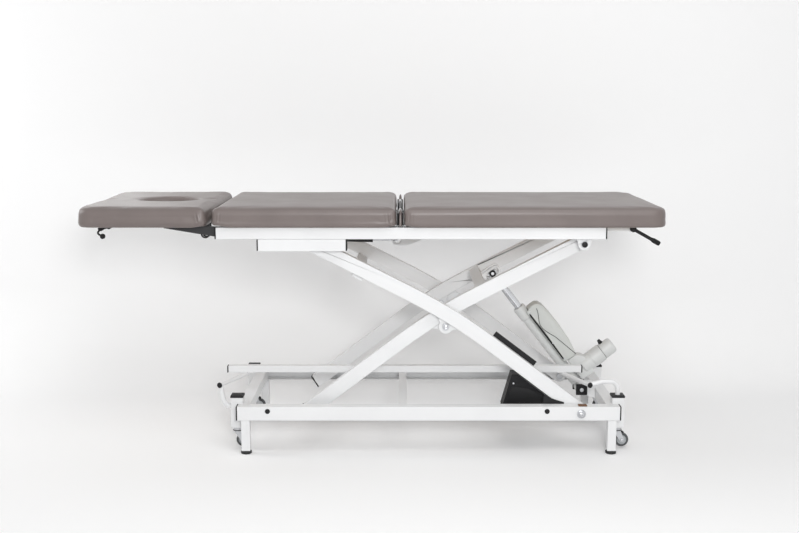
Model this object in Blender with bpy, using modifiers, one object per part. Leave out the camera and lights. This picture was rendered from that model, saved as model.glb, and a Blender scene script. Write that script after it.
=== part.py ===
"""Electric three-section treatment table on a scissor lift, with retractable castors.

Metres, +Z up.  The origin is on the floor under the middle of the couch; the head end is at -X
and the near long side is at -Y.
"""
import math

import bmesh
import bpy
from mathutils import Matrix, Vector

# Overall sizes
TABLE_LENGTH = 2.000
TABLE_WIDTH = 0.650
TABLE_HEIGHT = 0.868

# Upholstered pads and the boards let into them
PAD_THICKNESS = 0.070
PAD_GAP = 0.015
HEAD_PAD_LENGTH = 0.440
MIDDLE_PAD_LENGTH = 0.633
PAD_CORNER = 0.070
PAD_END_ROUND = 0.052
PAD_EDGE_ROUND = 0.030
PAD_CROWN = 0.003
PAD_DRAW_IN = 0.004
BOARD_THICKNESS = 0.012
BOARD_INSET = 0.045
FACE_HOLE_FROM_END = 0.256
FACE_HOLE_LENGTH = 0.215
FACE_HOLE_WIDTH = 0.165
FACE_HOLE_LEDGE = 0.012
FACE_PLUG_CLEARANCE = 0.002
FACE_PLUG_SINK = 0.030
FACE_PLUG_EDGE = 0.006

# Upper frame
FRAME_WIDTH = 0.600
TOP_RAIL_WIDTH = 0.040
TOP_RAIL_HEIGHT = 0.040
TOP_RAIL_WALL = 0.0025
TOP_RAIL_SET_IN = 0.015
TOP_RAIL_FROM_FOOT_END = 0.207
CROSS_WIDTH = 0.030
CROSS_HEIGHT = 0.025
LOW_CROSS_HEIGHT = 0.015
CROSS_FROM_CENTRE = 0.050
TRACK_HEIGHT = 0.041
TRACK_WALL = 0.003
TRACK_START = 0.142
TRACK_LENGTH = 0.298

# Base frame
BASE_RAIL_WIDTH = 0.040
BASE_RAIL_HEIGHT = 0.050
BASE_RAIL_WALL = 0.003
BASE_RAIL_BOTTOM = 0.121
BASE_SET_IN = 0.058
BASE_OVERHANG = 0.067
END_BEAM = 0.040
MIDDLE_BEAM = 0.030
MIDDLE_BEAM_FROM_LEFT = 0.577
LEG_SIDE = 0.030
LEG_LEFT_SET_IN = 0.028
LEG_RIGHT_SET_IN = 0.026
FOOT_HEIGHT = 0.020
FOOT_RADIUS = 0.019

# Castors and the foot bar that lowers them
POST_SIDE = 0.043
POST_LEFT_OVERHANG = 0.008
POST_RIGHT_OVERHANG = 0.004
POST_FROM_RAIL = 0.036
POST_BELOW_RAIL = 0.042
POST_ABOVE_RAIL = 0.017
STEM_RADIUS = 0.009
CASTOR_HEAD_RADIUS = 0.018
CASTOR_HEAD_HEIGHT = 0.010
CASTOR_CROWN_HEIGHT = 0.005
CASTOR_TRAIL = 0.018
WHEEL_DIAMETER = 0.050
WHEEL_WIDTH = 0.018
WHEEL_FLOOR_GAP = 0.006
FORK_PLATE = 0.0025
AXLE_RADIUS = 0.004
CASTOR_TRAVEL = 0.020
TIE_BAR_HEIGHT = 0.008
TIE_BAR_WIDTH = 0.016
FOOT_BAR_SIDE = 0.025
FOOT_BAR_Y = -0.075
FOOT_BAR_LEFT_OVERHANG = 0.060
FOOT_BAR_RIGHT_SET_IN = 0.103
FOOT_TUBE_RADIUS = 0.009
FOOT_TIP_FROM_RAIL = 0.025
FOOT_TIP_LEFT_REACH = 0.004
FOOT_TIP_RIGHT_REACH = 0.003
FOOT_TIP_ABOVE_RAIL = 0.062
FOOT_RISE = 0.012
FOOT_BEND = 0.032
FOOT_SLANT_RUN = 0.073

# Scissor arms
FIXED_PIVOT_SET_IN = 0.068
ROLLER_FROM_TRACK_END = 0.172
ARM_WIDTH = 0.030
ARM_DEPTH = 0.050
ARM_BOW = 0.042
ARM_BEND_SHARE = 0.3
ARM_SIDE_GAP = 0.004
ARM_BETWEEN_GAP = 0.006
EAR_THICKNESS = 0.010
EAR_RADIUS = 0.025
PIVOT_RADIUS = 0.008
ROLLER_AXLE_RADIUS = 0.006
ROLLER_PLAY = 0.0005
ROLLER_WIDTH = 0.026

# Linear actuator
ACTUATOR_FOOT_BEHIND = 0.043
ACTUATOR_FOOT_ABOVE = 0.016
ACTUATOR_EYE_AHEAD = 0.0563
ACTUATOR_EYE_ABOVE = 0.0013
ACTUATOR_TUBE_RADIUS = 0.023
ACTUATOR_BORE_RADIUS = 0.0145
ACTUATOR_NECK = 0.030
ACTUATOR_MOUTH = 0.385
ACTUATOR_ROD_RADIUS = 0.0135
ACTUATOR_ROD_LENGTH = 0.345
ACTUATOR_LUG_WIDTH = 0.042
ACTUATOR_LUG_RADIUS = 0.016
ACTUATOR_PIN_RADIUS = 0.006
SHELL_START = 0.118
SHELL_END = 0.366
SHELL_EDGE = 0.012
SHELL_TAPER = 0.016
SHELL_DEPTH = 0.058
SHELL_WIDTH = 0.066
MOTOR_AXIS = 0.059
MOTOR_RADIUS = 0.033
MOTOR_LENGTH = 0.122
MOTOR_CAP_LENGTH = 0.050
MOTOR_CAP_RADIUS = 0.030
GEAR_START = 0.022
GEAR_DEPTH = 0.062
LIFT_CROSS_AHEAD = 0.1775
LIFT_CROSS_ABOVE = 0.0354
LIFT_CROSS_SIDE = 0.040
ARM_TIE_AHEAD = 0.354
ARM_TIE_BELOW = 0.013
ARM_TIE_WIDTH = 0.040
ARM_TIE_DEPTH = 0.020
BRACKET_PLATE = 0.008
EYE_SLOT_HALF = 0.015
EYE_SLOT_PLAY = 0.005
HEAD_EYE_PLAY = 0.0082
MAIN_EYE_PLAY = 0.0096
MAIN_LUG_RIM = 0.005
MAIN_LUG_RISE = 28

# Section hinges, gas springs and release levers
HEAD_HINGE_SET_IN = 0.015
HEAD_HINGE_DROP = 0.0215
HEAD_HINGE_RADIUS = 0.006
HEAD_ARM_LENGTH = 0.200
HEAD_ARM_THICKNESS = 0.008
SPRING_TUBE_SHARE = 0.62
SPRING_ROD_HIDDEN = 0.38
MAIN_HINGE_RISE = 0.044
MAIN_HINGE_BARREL = 0.006
MAIN_HINGE_PIN = 0.003
MAIN_LUG_WIDTH = 0.030
MAIN_LUG_SET_IN = 0.050
MAIN_FRAME_SIDE = 0.020
MAIN_FRAME_SET_IN = 0.020
MAIN_FRAME_FROM_END = 0.095
SPRING_TUBE_RADIUS = 0.011
SPRING_BORE_RADIUS = 0.0054
SPRING_ROD_RADIUS = 0.005
SPRING_PIN_RADIUS = 0.004
SPRING_LUG_THICKNESS = 0.008
HEAD_SPRING_BEHIND = 0.155
HEAD_SPRING_FRAME_DROP = 0.052
HEAD_SPRING_AHEAD = 0.100
HEAD_SPRING_ARM_DROP = 0.056
MAIN_SPRING_BEHIND = 0.2455
MAIN_SPRING_FRAME_DROP = 0.076
MAIN_SPRING_BACK = 0.0109
MAIN_SPRING_ARM_DROP = 0.0805
LEVER_RADIUS = 0.006
LEVER_GRIP_RADIUS = 0.008
LEVER_CLAMP_HALF = 0.010
MAIN_LEVER_REACH = 0.093
MAIN_LEVER_DROP = 0.052
HEAD_LEVER_SET_IN = 0.040
HEAD_LEVER_FROM_SIDE = 0.125
HEAD_LEVER_REACH = 0.040
HEAD_LEVER_DROP = 0.010
HEAD_KNOB_HALF = 0.012
HEAD_CLAMP_HALF = 0.014

# Black guards
GUARD_LEFT_REACH = 0.265
GUARD_RIGHT_REACH = 0.065
GUARD_ABOVE_RAIL = 0.085
GUARD_FOOT_RISE = 0.014
GUARD_FROM_ARM = 0.010
GUARD_WIDTH = 0.070
GUARD_LEAN = 0.034
GUARD_CREST = 0.020
GUARD_TOE_RUN = 0.012
GUARD_TOE_RISE = 0.020
ARM_GUARD_LENGTH = 0.180
ARM_GUARD_DEPTH = 0.043
ARM_GUARD_PROUD = 0.018
ARM_GUARD_FROM_CENTRE = 0.246
ARM_GUARD_THICKNESS = 0.008

# Clearances
FIT = 0.0003
PIN_PLAY = 0.0006
OVERLAP = 0.002
WELD = 0.00001
ROUND_STEPS = 16

# Heights and sides that follow from the sizes above
HALF_LENGTH = TABLE_LENGTH / 2
HALF_WIDTH = TABLE_WIDTH / 2
PAD_BOTTOM = TABLE_HEIGHT - PAD_THICKNESS
HEAD_PAD_RIGHT = -HALF_LENGTH + HEAD_PAD_LENGTH
MIDDLE_PAD_LEFT = HEAD_PAD_RIGHT + PAD_GAP
MIDDLE_PAD_RIGHT = MIDDLE_PAD_LEFT + MIDDLE_PAD_LENGTH
MAIN_PAD_LEFT = MIDDLE_PAD_RIGHT + PAD_GAP
FACE_HOLE_X = -HALF_LENGTH + FACE_HOLE_FROM_END
RAIL_OUTER = FRAME_WIDTH / 2
TOP_RAIL_LEFT = MIDDLE_PAD_LEFT + TOP_RAIL_SET_IN
TOP_RAIL_RIGHT = HALF_LENGTH - TOP_RAIL_FROM_FOOT_END
TOP_RAIL_TOP = PAD_BOTTOM - FIT
TOP_RAIL_BOTTOM = TOP_RAIL_TOP - TOP_RAIL_HEIGHT
TOP_RAIL_INNER = RAIL_OUTER - TOP_RAIL_WIDTH
TRACK_LEFT = TOP_RAIL_LEFT + TRACK_START
TRACK_RIGHT = TRACK_LEFT + TRACK_LENGTH
TRACK_BOTTOM = TOP_RAIL_BOTTOM - TRACK_HEIGHT
BASE_RAIL_LEFT = TOP_RAIL_LEFT + BASE_SET_IN
BASE_RAIL_RIGHT = TOP_RAIL_RIGHT + BASE_OVERHANG
BASE_RAIL_TOP = BASE_RAIL_BOTTOM + BASE_RAIL_HEIGHT
BASE_RAIL_INNER = RAIL_OUTER - BASE_RAIL_WIDTH
MIDDLE_BEAM_X = BASE_RAIL_LEFT + MIDDLE_BEAM_FROM_LEFT
LEG_LEFT_X = BASE_RAIL_LEFT + LEG_LEFT_SET_IN
LEG_RIGHT_X = BASE_RAIL_RIGHT - LEG_RIGHT_SET_IN
POST_LEFT_X = BASE_RAIL_LEFT - POST_LEFT_OVERHANG
POST_RIGHT_X = BASE_RAIL_RIGHT + POST_RIGHT_OVERHANG
POST_Y = BASE_RAIL_INNER - POST_FROM_RAIL
POST_BOTTOM = BASE_RAIL_BOTTOM - POST_BELOW_RAIL
POST_TOP = BASE_RAIL_TOP + POST_ABOVE_RAIL
CASTOR_HEAD_TOP = POST_BOTTOM - FIT
CASTOR_HEAD_BOTTOM = CASTOR_HEAD_TOP - CASTOR_HEAD_HEIGHT
WHEEL_Z = WHEEL_FLOOR_GAP + WHEEL_DIAMETER / 2
FOOT_BAR_LEFT = BASE_RAIL_LEFT - FOOT_BAR_LEFT_OVERHANG
FOOT_BAR_RIGHT = BASE_RAIL_RIGHT - FOOT_BAR_RIGHT_SET_IN
FOOT_TIP_LEFT_X = FOOT_BAR_LEFT - FOOT_TIP_LEFT_REACH
FOOT_TIP_RIGHT_X = FOOT_BAR_RIGHT + FOOT_TIP_RIGHT_REACH
FOOT_TIP_Y = -(BASE_RAIL_INNER - FOOT_TIP_FROM_RAIL)
FOOT_TIP_Z = BASE_RAIL_TOP + FOOT_TIP_ABOVE_RAIL
FIXED_PIVOT_X = TOP_RAIL_RIGHT - FIXED_PIVOT_SET_IN
ROLLER_X = TRACK_LEFT + ROLLER_FROM_TRACK_END
UPPER_PIVOT_Z = TRACK_BOTTOM + TRACK_HEIGHT / 2
LOWER_PIVOT_Z = BASE_RAIL_BOTTOM + BASE_RAIL_HEIGHT / 2
CENTRE_X = (FIXED_PIVOT_X + ROLLER_X) / 2
CENTRE_Z = (LOWER_PIVOT_Z + UPPER_PIVOT_Z) / 2
ARM_LEAN = math.atan2(UPPER_PIVOT_Z - LOWER_PIVOT_Z, FIXED_PIVOT_X - ROLLER_X)
ARM_LENGTH = math.hypot(FIXED_PIVOT_X - ROLLER_X, UPPER_PIVOT_Z - LOWER_PIVOT_Z)
OUTER_ARM_OUT = BASE_RAIL_INNER - ARM_SIDE_GAP
OUTER_ARM_IN = OUTER_ARM_OUT - ARM_WIDTH
INNER_ARM_OUT = OUTER_ARM_IN - ARM_BETWEEN_GAP
INNER_ARM_IN = INNER_ARM_OUT - ARM_WIDTH
LIFT_CROSS_X = CENTRE_X + LIFT_CROSS_AHEAD * math.cos(ARM_LEAN) - LIFT_CROSS_ABOVE * math.sin(ARM_LEAN)
LIFT_CROSS_Z = CENTRE_Z + LIFT_CROSS_AHEAD * math.sin(ARM_LEAN) + LIFT_CROSS_ABOVE * math.cos(ARM_LEAN)
ACTUATOR_EYE_X = (LIFT_CROSS_X + ACTUATOR_EYE_AHEAD * math.cos(ARM_LEAN)
                  - ACTUATOR_EYE_ABOVE * math.sin(ARM_LEAN))
ACTUATOR_EYE_Z = (LIFT_CROSS_Z + ACTUATOR_EYE_AHEAD * math.sin(ARM_LEAN)
                  + ACTUATOR_EYE_ABOVE * math.cos(ARM_LEAN))
ACTUATOR_FOOT_X = FIXED_PIVOT_X + ACTUATOR_FOOT_BEHIND
ACTUATOR_FOOT_Z = LOWER_PIVOT_Z + ACTUATOR_FOOT_ABOVE
HEAD_HINGE_X = TOP_RAIL_LEFT + HEAD_HINGE_SET_IN
HEAD_HINGE_Z = PAD_BOTTOM - HEAD_HINGE_DROP
MAIN_HINGE_X = (MIDDLE_PAD_RIGHT + MAIN_PAD_LEFT) / 2
MAIN_HINGE_Z = PAD_BOTTOM + MAIN_HINGE_RISE
MAIN_FRAME_RIGHT = HALF_LENGTH - MAIN_FRAME_FROM_END
MAIN_FRAME_HALF_WIDTH = TOP_RAIL_INNER - MAIN_FRAME_SET_IN
MAIN_LUG_Y = MAIN_FRAME_HALF_WIDTH - MAIN_LUG_SET_IN
HEAD_SPRING_FRAME_X = HEAD_HINGE_X + HEAD_SPRING_BEHIND
HEAD_SPRING_FRAME_Z = PAD_BOTTOM - HEAD_SPRING_FRAME_DROP
HEAD_SPRING_ARM_X = HEAD_HINGE_X - HEAD_SPRING_AHEAD
HEAD_SPRING_ARM_Z = PAD_BOTTOM - HEAD_SPRING_ARM_DROP
MAIN_SPRING_FRAME_X = MAIN_HINGE_X - MAIN_SPRING_BEHIND
MAIN_SPRING_FRAME_Z = PAD_BOTTOM - MAIN_SPRING_FRAME_DROP
MAIN_SPRING_ARM_X = MAIN_HINGE_X - MAIN_SPRING_BACK
MAIN_SPRING_ARM_Z = PAD_BOTTOM - MAIN_SPRING_ARM_DROP
GUARD_LEFT_X = FIXED_PIVOT_X - GUARD_LEFT_REACH
GUARD_RIGHT_X = FIXED_PIVOT_X - GUARD_RIGHT_REACH
GUARD_TOP_Z = BASE_RAIL_TOP + GUARD_ABOVE_RAIL
GUARD_BOTTOM_Z = BASE_RAIL_BOTTOM + GUARD_FOOT_RISE
GUARD_OUTER_Y = -(INNER_ARM_IN - GUARD_FROM_ARM)
GUARD_INNER_Y = GUARD_OUTER_Y + GUARD_WIDTH
SIDES = {"near": -1, "far": 1}
ENDS = {"left": -1, "right": 1}

FINISHES = {
    "white_paint": ((0.86, 0.87, 0.87), 0.35, 0.0),
    "black_plastic": ((0.02, 0.02, 0.022), 0.45, 0.0),
    "black_paint": ((0.025, 0.025, 0.027), 0.4, 0.0),
    "rubber": ((0.03, 0.03, 0.03), 0.8, 0.0),
    "zinc": ((0.62, 0.63, 0.64), 0.35, 1.0),
    "grey_shell": ((0.58, 0.60, 0.57), 0.5, 0.0),
    "vinyl": ((0.26, 0.22, 0.21), 0.5, 0.0),
    "plywood": ((0.55, 0.42, 0.28), 0.7, 0.0),
}

for existing in list(bpy.data.objects):
    bpy.data.objects.remove(existing, do_unlink=True)

parts = bpy.data.collections.new("treatment_table")
tools = bpy.data.collections.new("cutters")
bpy.context.scene.collection.children.link(parts)
bpy.context.scene.collection.children.link(tools)


# Shapes

def place(name, mesh):
    """An object for a mesh, in the table's own collection."""
    thing = bpy.data.objects.new(name, mesh)
    parts.objects.link(thing)
    return thing


def from_bmesh(name, bm):
    mesh = bpy.data.meshes.new(name)
    bm.to_mesh(mesh)
    bm.free()
    return place(name, mesh)


def block(name, low, high):
    """A box between two corners."""
    bm = bmesh.new()
    bmesh.ops.create_cube(bm, size=1.0)
    size = Vector(high) - Vector(low)
    middle = (Vector(high) + Vector(low)) / 2
    bmesh.ops.transform(bm, matrix=Matrix.Translation(middle) @ Matrix.Diagonal((*size, 1)), verts=bm.verts)
    return from_bmesh(name, bm)


def tilted_block(name, size, matrix):
    """A box of a given size about its own middle, placed by a matrix."""
    bm = bmesh.new()
    bmesh.ops.create_cube(bm, size=1.0)
    bmesh.ops.transform(bm, matrix=matrix @ Matrix.Diagonal((*size, 1)), verts=bm.verts)
    return from_bmesh(name, bm)


def cylinder(name, start, end, radius, steps=ROUND_STEPS):
    """A round bar between two points."""
    start = Vector(start)
    end = Vector(end)
    along = end - start
    turn = along.to_track_quat("Z", "Y").to_matrix().to_4x4()
    bm = bmesh.new()
    bmesh.ops.create_cone(
        bm, cap_ends=True, segments=steps, radius1=radius, radius2=radius, depth=along.length,
        matrix=Matrix.Translation((start + end) / 2) @ turn)
    return from_bmesh(name, bm)


def solid_from_curve(curve_object, matrix):
    """A closed mesh from a curve object, with its caps welded."""
    name = curve_object.name
    parts.objects.link(curve_object)
    depsgraph = bpy.context.evaluated_depsgraph_get()
    mesh = bpy.data.meshes.new_from_object(curve_object.evaluated_get(depsgraph))
    bpy.data.objects.remove(curve_object, do_unlink=True)
    bm = bmesh.new()
    bm.from_mesh(mesh)
    bmesh.ops.remove_doubles(bm, verts=bm.verts, dist=WELD)
    bmesh.ops.transform(bm, matrix=matrix, verts=bm.verts)
    bmesh.ops.recalc_face_normals(bm, faces=bm.faces)
    bpy.data.meshes.remove(mesh)
    return from_bmesh(name, bm)


def extruded(name, outline, axis, low, high):
    """A flat outline given a thickness along X (outline in y, z), Y (in x, z) or Z (in x, y)."""
    curve = bpy.data.curves.new(name, "CURVE")
    curve.dimensions = "2D"
    curve.fill_mode = "BOTH"
    curve.extrude = (high - low) / 2
    spline = curve.splines.new("POLY")
    spline.points.add(len(outline) - 1)
    for point, (u, v) in zip(spline.points, outline):
        point.co = (u, v, 0, 1)
    spline.use_cyclic_u = True
    middle = (high + low) / 2
    turns = {
        "X": Matrix(((0, 0, 1, middle), (1, 0, 0, 0), (0, 1, 0, 0), (0, 0, 0, 1))),
        "Y": Matrix(((1, 0, 0, 0), (0, 0, -1, middle), (0, 1, 0, 0), (0, 0, 0, 1))),
        "Z": Matrix.Translation((0, 0, middle)),
    }
    return solid_from_curve(bpy.data.objects.new(name, curve), turns[axis])


def tube(name, points, radius, resolution=2):
    """A round tube along points, with filled ends."""
    curve = bpy.data.curves.new(name, "CURVE")
    curve.dimensions = "3D"
    curve.bevel_depth = radius
    curve.bevel_resolution = resolution
    curve.use_fill_caps = True
    spline = curve.splines.new("POLY")
    spline.points.add(len(points) - 1)
    for point, place_ in zip(spline.points, points):
        point.co = (*place_, 1)
    return solid_from_curve(bpy.data.objects.new(name, curve), Matrix.Identity(4))


def turned(name, profile, location, axis, steps=ROUND_STEPS, closed=False):
    """A lathe shape: (radius, distance) pairs down the outer side, turned about an axis."""
    mesh = bpy.data.meshes.new(name)
    edges = [(i, i + 1) for i in range(len(profile) - 1)]
    if closed:
        edges.append((len(profile) - 1, 0))
    mesh.from_pydata([(radius, 0, distance) for radius, distance in profile], edges, [])
    thing = place(name, mesh)
    thing.location = location
    thing.rotation_mode = "QUATERNION"
    thing.rotation_quaternion = Vector(axis).to_track_quat("Z", "Y")
    screw = thing.modifiers.new("turn", "SCREW")
    screw.steps = steps
    screw.render_steps = steps
    screw.use_merge_vertices = True
    screw.merge_threshold = WELD
    return thing


def as_tool(thing):
    """Marks a piece as one that only cuts or joins another."""
    parts.objects.unlink(thing)
    tools.objects.link(thing)
    thing.hide_render = True
    thing.display_type = "WIRE"


def combine(target, others, operation):
    for other in others:
        step = target.modifiers.new(other.name, "BOOLEAN")
        step.operation = operation
        step.object = other
        as_tool(other)
    return target


def join(target, *others):
    return combine(target, others, "UNION")


def cut(target, *others):
    return combine(target, others, "DIFFERENCE")


def soften(thing, width, segments=1):
    """Breaks the sharp edges of a piece."""
    bevel = thing.modifiers.new("edges", "BEVEL")
    bevel.width = width
    bevel.segments = segments
    bevel.limit_method = "ANGLE"
    bevel.angle_limit = math.radians(50)
    return thing


def arc(centre, radius, start, end, count):
    """Points on an arc in degrees, both ends included."""
    points = []
    for i in range(count + 1):
        angle = math.radians(start + (end - start) * i / count)
        points.append((centre[0] + radius * math.cos(angle), centre[1] + radius * math.sin(angle)))
    return points


def channel_outline(side, outer, width, bottom, height, wall):
    """A C section open towards the table's middle, in y and z."""
    top = bottom + height
    inner = outer - width
    outline = [(inner, bottom), (outer, bottom), (outer, top), (inner, top),
               (inner, top - wall), (outer - wall, top - wall), (outer - wall, bottom + wall),
               (inner, bottom + wall)]
    return [(side * y, z) for y, z in outline]


def finish(thing, key):
    """Gives a piece its own material and smooth round faces."""
    colour, roughness, metallic = FINISHES[key]
    material = bpy.data.materials.new(thing.name + "_finish")
    material.use_nodes = True
    shader = material.node_tree.nodes["Principled BSDF"]
    shader.inputs["Base Color"].default_value = (*colour, 1)
    shader.inputs["Roughness"].default_value = roughness
    shader.inputs["Metallic"].default_value = metallic
    thing.data.materials.append(material)
    thing.data.shade_smooth()
    thing.data.set_sharp_from_angle(angle=math.radians(35))


pivots = {}


def pivot(name, location, carrier=None):
    """An empty on a joint's axis, carried by another one."""
    empty = bpy.data.objects.new(name, None)
    parts.objects.link(empty)
    empty.location = location
    pivots[name] = Vector(location)
    if carrier:
        mount(empty, carrier)
    return empty


def mount(thing, carrier):
    """Parents a piece to a pivot without moving it."""
    thing.parent = carrier
    thing.matrix_parent_inverse = Matrix.Translation(-pivots[carrier.name])


# Pads

def round_corner(value, other):
    """Maps a square corner onto a quarter disc."""
    if value <= 0 or other <= 0:
        return value, other
    scale = max(value, other) / math.hypot(value, other)
    return value * scale, other * scale


def pad(name, left, right, free_left, free_right):
    """A crowned pad whose sides draw in; a free end has round corners in plan."""
    low = Vector((left, -HALF_WIDTH, PAD_BOTTOM))
    high = Vector((right, HALF_WIDTH, TABLE_HEIGHT - PAD_CROWN))
    bm = bmesh.new()
    bmesh.ops.create_cube(bm, size=1.0)
    bmesh.ops.transform(
        bm, matrix=Matrix.Translation((low + high) / 2) @ Matrix.Diagonal((*(high - low), 1)),
        verts=bm.verts)
    stations = [(0, (left + right) / 2), (1, 0.0)]
    for free, end, inward in ((free_left, left, 1), (free_right, right, -1)):
        stations.append((0, end + inward * (PAD_CORNER if free else PAD_END_ROUND)))
        if free:
            stations.append((0, end + inward * PAD_CORNER * 0.4))
    for side in SIDES.values():
        stations.append((1, side * (HALF_WIDTH - PAD_EDGE_ROUND)))
        stations.append((1, side * (HALF_WIDTH - PAD_CORNER)))
    stations.append((2, PAD_BOTTOM + PAD_EDGE_ROUND))
    stations.append((2, TABLE_HEIGHT - PAD_CROWN - PAD_EDGE_ROUND))
    for axis, at in stations:
        point = Vector((0, 0, 0))
        point[axis] = at
        normal = Vector((0, 0, 0))
        normal[axis] = 1
        everything = list(bm.verts) + list(bm.edges) + list(bm.faces)
        bmesh.ops.bisect_plane(bm, geom=everything, plane_co=point, plane_no=normal, dist=WELD)
    middle = (low + high) / 2
    for vert in bm.verts:
        u = (vert.co.x - middle.x) / (high.x - middle.x)
        w = vert.co.y / HALF_WIDTH
        on_side = abs(abs(w) - 1) < 1e-6
        on_end = abs(abs(u) - 1) < 1e-6
        on_top = abs(vert.co.z - high.z) < 1e-6
        if on_side and not on_end:
            vert.co.y -= math.copysign(PAD_DRAW_IN * (1 - u * u), w)
        if on_end and not on_side:
            vert.co.x -= math.copysign(PAD_DRAW_IN * (1 - w * w) * 0.5, u)
        if on_top and not on_side and not on_end:
            vert.co.z += PAD_CROWN * (1 - u * u * u * u) * (1 - w * w * w * w)
        for free, end, outward in ((free_left, left, -1), (free_right, right, 1)):
            if free:
                side = math.copysign(1, vert.co.y)
                inner_x = end - outward * PAD_CORNER
                inner_y = HALF_WIDTH - PAD_CORNER
                dx, dy = round_corner((vert.co.x - inner_x) * outward, side * vert.co.y - inner_y)
                vert.co.x = inner_x + outward * dx
                vert.co.y = side * (inner_y + dy)
    thing = from_bmesh(name, bm)
    smooth = thing.modifiers.new("padding", "SUBSURF")
    smooth.levels = 1
    smooth.render_levels = 1
    return thing


def oval(centre_x, length, width, count=24):
    return [(centre_x + length / 2 * math.cos(2 * math.pi * i / count),
             width / 2 * math.sin(2 * math.pi * i / count)) for i in range(count)]


def board_box(name, left, right, spare):
    """The board under a pad, or with spare room the pocket for it."""
    inset = BOARD_INSET - spare
    bottom = PAD_BOTTOM - (OVERLAP if spare else 0)
    return block(name, (left + inset, -HALF_WIDTH + inset, bottom),
                 (right - inset, HALF_WIDTH - inset, PAD_BOTTOM + BOARD_THICKNESS + spare))


def make_pads():
    spans = {
        "head": (-HALF_LENGTH, HEAD_PAD_RIGHT, True, False),
        "middle": (MIDDLE_PAD_LEFT, MIDDLE_PAD_RIGHT, False, False),
        "main": (MAIN_PAD_LEFT, HALF_LENGTH, False, True),
    }
    made = {}
    for section, (left, right, free_left, free_right) in spans.items():
        cushion = pad(section + "_cushion", left, right, free_left, free_right)
        cut(cushion, board_box(section + "_pocket", left, right, FIT))
        board = board_box(section + "_board", left, right, 0)
        made[section] = (cushion, board)
    over = TABLE_HEIGHT + OVERLAP
    hole = extruded("face_hole", oval(FACE_HOLE_X, FACE_HOLE_LENGTH, FACE_HOLE_WIDTH), "Z",
                    PAD_BOTTOM + BOARD_THICKNESS - OVERLAP, over)
    cut(made["head"][0], hole)
    ledge = 2 * FACE_HOLE_LEDGE
    vent = extruded("face_vent", oval(FACE_HOLE_X, FACE_HOLE_LENGTH - ledge, FACE_HOLE_WIDTH - ledge), "Z",
                    PAD_BOTTOM - OVERLAP, PAD_BOTTOM + BOARD_THICKNESS + OVERLAP)
    cut(made["head"][1], vent)
    play = 2 * FACE_PLUG_CLEARANCE
    plug = extruded("face_plug", oval(FACE_HOLE_X, FACE_HOLE_LENGTH - play, FACE_HOLE_WIDTH - play), "Z",
                    PAD_BOTTOM + BOARD_THICKNESS + FIT, TABLE_HEIGHT - FACE_PLUG_SINK)
    soften(plug, FACE_PLUG_EDGE, 2)
    for cushion, board in made.values():
        finish(cushion, "vinyl")
        finish(board, "plywood")
    finish(plug, "vinyl")
    return made, plug


# Base frame, feet and guards

def end_beam_x(end):
    """The middle of the cross beam at one end, inside the ends of the rails."""
    if end < 0:
        return BASE_RAIL_LEFT + END_BEAM / 2
    return BASE_RAIL_RIGHT - END_BEAM / 2


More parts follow.
